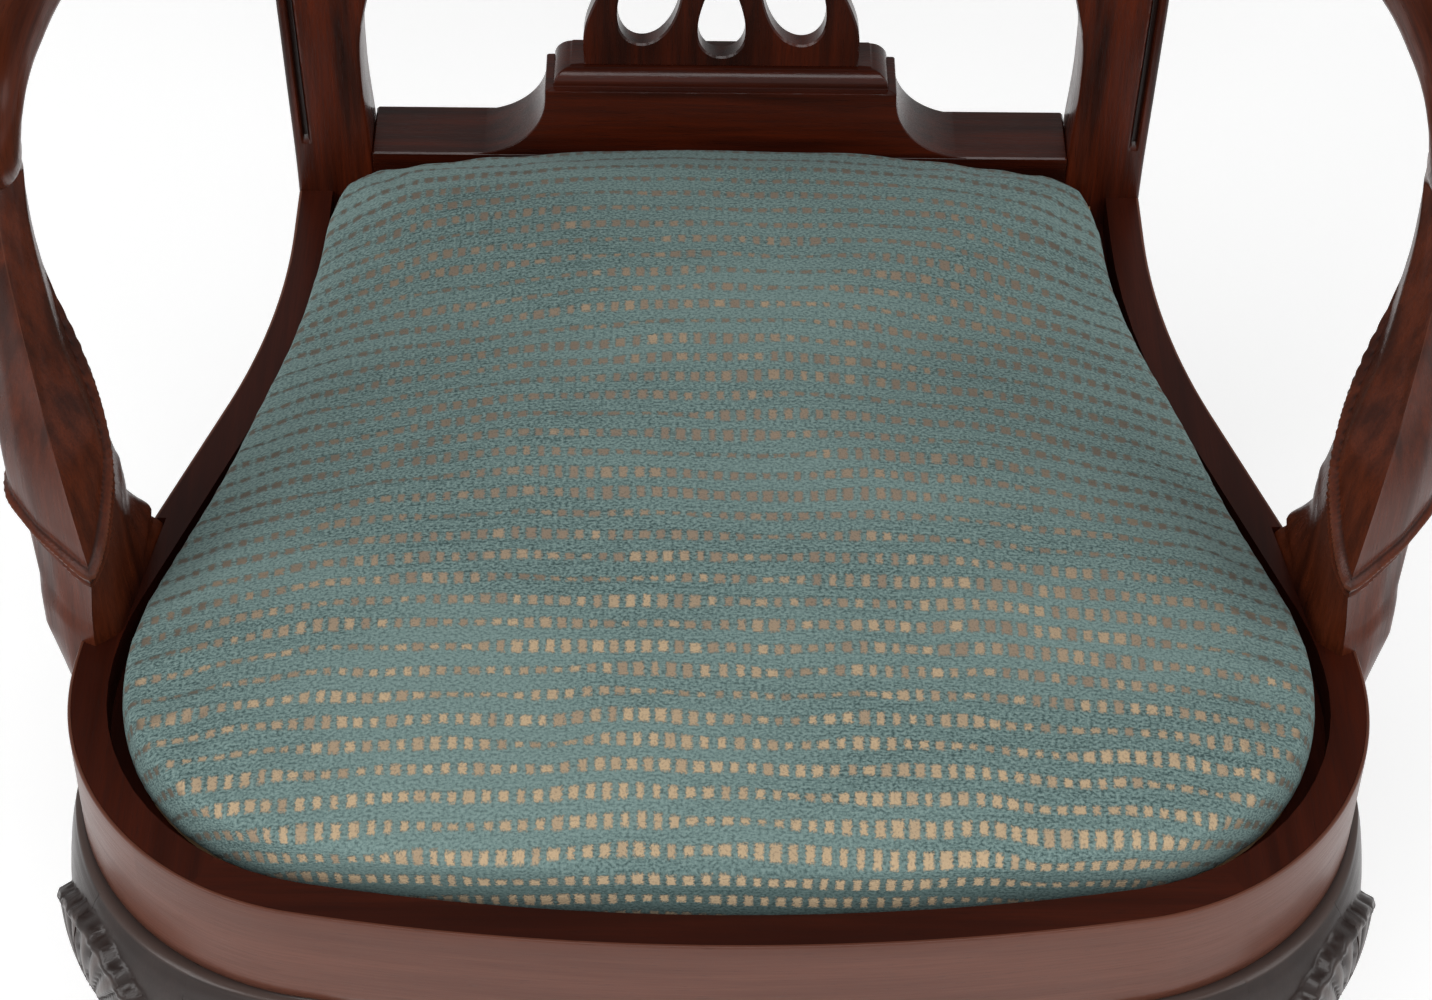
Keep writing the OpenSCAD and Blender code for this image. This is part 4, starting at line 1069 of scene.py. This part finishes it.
def cushionShell(q):
    # from the middle outwards: a crown falling as a power of the distance, a roll at the edge,
    # an upright side that swells over the rim towards the back, a flat underside
    rim, backY = cushionOutline(q)
    centre = np.array([0.0, q["peak"]])
    edge, behind = cushionEdge(q, rim[:, 0], rim[:, 1], backY)
    out = np.roll(rim, -1, 0) - np.roll(rim, 1, 0)
    out = stack(out[:, 1], -out[:, 0]) / np.linalg.norm(out, axis=1, keepdims=True)
    out *= np.sign((out * (rim - centre)).sum(1, keepdims=True))
    swell = q["swell"] * step(rim[:, 1], -60, 40) * (1 - behind)
    wide = rim + out * swell[:, None]
    wide[:, 0] -= q["settle"] * step(rim[:, 1], -20, 120)
    ray = wide - centre
    power = (2.0 + 2.0 * step(ray[:, 1] / np.linalg.norm(ray, axis=1), 0.2, 0.9))
    rows = []
    for f in np.concatenate([np.linspace(0.02, 0.94, 40), np.linspace(0.95, 0.985, 4)]):
        rows.append(np.concatenate([centre + ray * f,
            (edge + (q["crown"] - edge) * (1 - f ** power))[:, None]], 1))
    r = 4.5 + 4.5 * behind
    for a in np.linspace(0.25, 1.0, 5) * np.pi / 2:
        rows.append(np.concatenate([wide - out * (r * (1 - np.sin(a)))[:, None],
            (edge - r + r * np.cos(a) - 0.4)[:, None]], 1))
    for f, share, pull in ((0.8, 1.0, 0), (0.66, 0.6, 0), (0.52, 0.0, 0.3), (0.25, 0.0, 0.8),
            (0.08, 0.0, 1.2)):
        rows.append(np.concatenate([rim + (wide - rim) * share - out * pull,
            (q["low"] + (edge - 5 - q["low"]) * f)[:, None]], 1))
    for f in (0.985, 0.9, 0.6, 0.3, 0.03):
        rows.append(np.concatenate([centre + (rim - centre) * f, np.full((len(rim), 1), q["low"])], 1))
    return closedSolid(np.array(rows)), centre, backY


def makeCushion(q):
    (points, faces), centre, backY = cushionShell(q)
    made = makeMesh("seatCushion", [(points, faces, None, None)], 60)
    scene = bpy.context.scene
    bpy.context.view_layer.objects.active = made
    made.select_set(True)
    remesh = made.modifiers.new("even", "REMESH")
    remesh.mode, remesh.voxel_size, remesh.use_smooth_shade = "VOXEL", q["voxel"], True
    bpy.ops.object.modifier_apply(modifier="even")
    start = readPoints(made.data)
    held = made.vertex_groups.new(name="held")
    fixed = np.nonzero(start[:, 2] < (seat["rim"] - 4) * mm)[0]
    held.add(fixed.tolist(), 1.0, "REPLACE")
    cloth = made.modifiers.new("swell", "CLOTH")
    cloth.settings.quality = 4
    cloth.settings.vertex_group_mass = "held"
    cloth.settings.use_pressure = True
    cloth.settings.uniform_pressure_force = q["pressure"]
    cloth.settings.effector_weights.gravity = 0
    cloth.point_cache.frame_start, cloth.point_cache.frame_end = 1, q["frames"]
    for f in range(1, q["frames"] + 1):
        scene.frame_set(f)
    deps = bpy.context.evaluated_depsgraph_get()
    swollen = readPoints(made.evaluated_get(deps).to_mesh())
    made.modifiers.remove(cloth)
    scene.frame_set(1)
    move = swollen - start
    far = np.linalg.norm(move, axis=1, keepdims=True)
    cap = q["cap"] * mm * step(start[:, 2:3] / mm, seat["rim"] - 6, seat["rim"] + 14)
    start = start + move * np.minimum(1, cap / np.maximum(far, 1e-9))
    made.vertex_groups.clear()
    # stuffing is never quite even: soft lumps a few tenths of a millimetre high
    x, y, z = start.T / mm
    upper = step(z, 432, 446)
    start[:, 2] += mm * upper * (0.5 * np.sin(x / 31 + 1) * np.sin(y / 27) + 0.35 * np.sin(x / 17)
        * np.sin(y / 21 + 2))
    made.data.vertices.foreach_set("co", start.astype(np.float32).ravel())
    subdivide = made.modifiers.new("finer", "SUBSURF")
    subdivide.levels = subdivide.render_levels = 1
    bpy.ops.object.modifier_apply(modifier="finer")
    # cloth coordinates: the plan position, carried on outwards down the upright side
    p = readPoints(made.data) / mm
    normal = readPoints(made.data, "normal")
    away = p[:, :2] - centre
    flat = np.linalg.norm(normal[:, :2], axis=1)
    out = np.where(flat[:, None] > 0.3, normal[:, :2] / np.maximum(flat[:, None], 1e-6), away / 300)
    drop = np.clip(cushionEdge(q, p[:, 0], p[:, 1], backY)[0] - 4 - p[:, 2], 0, 60)
    uv = p[:, :2] + out * (drop * step(flat, 0.25, 0.8))[:, None]
    # facing compares each normal with a fixed direction up and towards the front; the material turns low
    # values into painted shade on the blocks
    facing = normal @ np.array([0, -0.72, 0.69]) - 0.35 * np.abs(normal[:, 0])
    cloth = np.concatenate([uv * mm, facing[:, None]], 1)
    made.data.attributes.new("cloth", "FLOAT_VECTOR", "POINT").data.foreach_set(
        "vector", cloth.astype(np.float32).ravel())
    made.data.polygons.foreach_set("use_smooth", np.ones(len(made.data.polygons), bool))
    made.data.materials.clear()
    made.data.materials.append(finish["chenille"])
    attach(made, "loose_seat")
    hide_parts("cover", "stuffing")
    return made


cushion = makeCushion(cushionSet)
print("cushion made", len(cushion.data.polygons))

# nodes shown as they are, each with its own finish

carried = {"rimX": ["front_rail"], "alongY": ["side_rail_left", "side_rail_right"],
    "beechX": ["corner_block_front_left", "corner_block_front_right", "corner_block_back_left",
    "corner_block_back_right", "seat_member_front", "seat_member_back"],
    "beechY": ["seat_member_left", "seat_member_right"], "beechZ": ["arm_dowels"],
    "steel": ["arm_screws", "support_screws"], "webbing": ["webbing_long", "webbing_cross"],
    "hessian": ["hessian"], "lining": ["bottom_cloth"], "blued": ["tacks"]}
for key, names in carried.items():
    for name in names:
        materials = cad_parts[name].data.materials
        materials.clear()
        materials.append(finish[key])

# floor, lights and surroundings

studioSet = {"floor": 14.0, "below": 0.0005, "glow": 0.3,
    "sky": [(0.0, 0.8), (0.5, 0.62), (0.62, 0.4), (0.76, 0.14), (1.0, 0.1)],
    "lights": [("keyLeft", (-2.2, -1.4, 2.2), (0, 0, 0.45), (1.5, 1.5), 34),
    ("keyRight", (2.3, -0.9, 2.0), (0, 0, 0.45), (1.5, 1.5), 20),
    ("frontTop", (0.0, -1.9, 3.2), (0, 0, 0.4), (2.4, 1.4), 50)]}


def makeFloor(q):
    mesh = bpy.data.meshes.new("studioFloor")
    corners = [(x * q["floor"], y * q["floor"], -q["below"]) for x,
        y in ((-1, -1), (1, -1), (1, 1), (-1, 1))]
    mesh.from_pydata(corners, [], [(0, 1, 2, 3)])
    floor = bpy.data.objects.new("studioFloor", mesh)
    bpy.context.scene.collection.objects.link(floor)
    paint = Paint("paleFloor", Roughness=1.0, Specular_IOR_Level=0.0, Emission_Color=(1, 1, 1, 1),
        Emission_Strength=q["glow"])
    soft = paint.noise(paint.scaled(paint.objectPlace(), (2, 2, 2)), detail=2)
    paint.colour(paint.mix(soft, (0.985, 0.985, 0.985), (1.0, 1.0, 1.0)))
    mesh.materials.append(paint.material)
    floor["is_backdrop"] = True


def makeLight(name, place, target, size, power):
    data = bpy.data.lights.new(name, "AREA")
    data.shape, data.size, data.size_y, data.energy = "RECTANGLE", *size, power
    forward = np.array(target, float) - np.array(place, float)
    forward /= np.linalg.norm(forward)
    right = np.cross(forward, (0, 0, 1))
    right /= np.linalg.norm(right)
    putIn(name, data, right, np.cross(right, forward), forward, place)


def makeWorld(q):
    # pale up to a soft line above the horizon, dim overhead
    world = bpy.data.worlds.new("studio")
    bpy.context.scene.world = world
    world.use_nodes = True
    sky = Maker(world.node_tree)
    height = sky.parts(sky.node("ShaderNodeTexCoord", out="Generated"))[2]
    background = world.node_tree.nodes["Background"].inputs
    sky.feed(background["Color"], sky.node("ShaderNodeValToRGB", {"stops": q["sky"]}, {0: height}))
    sky.feed(background["Strength"], 1.0)


makeFloor(studioSet)
makeWorld(studioSet)
for light in studioSet["lights"]:
    makeLight(*light)

for part in (cadBox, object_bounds()):
    print([[round(float(c), 4) for c in corner] for corner in part])
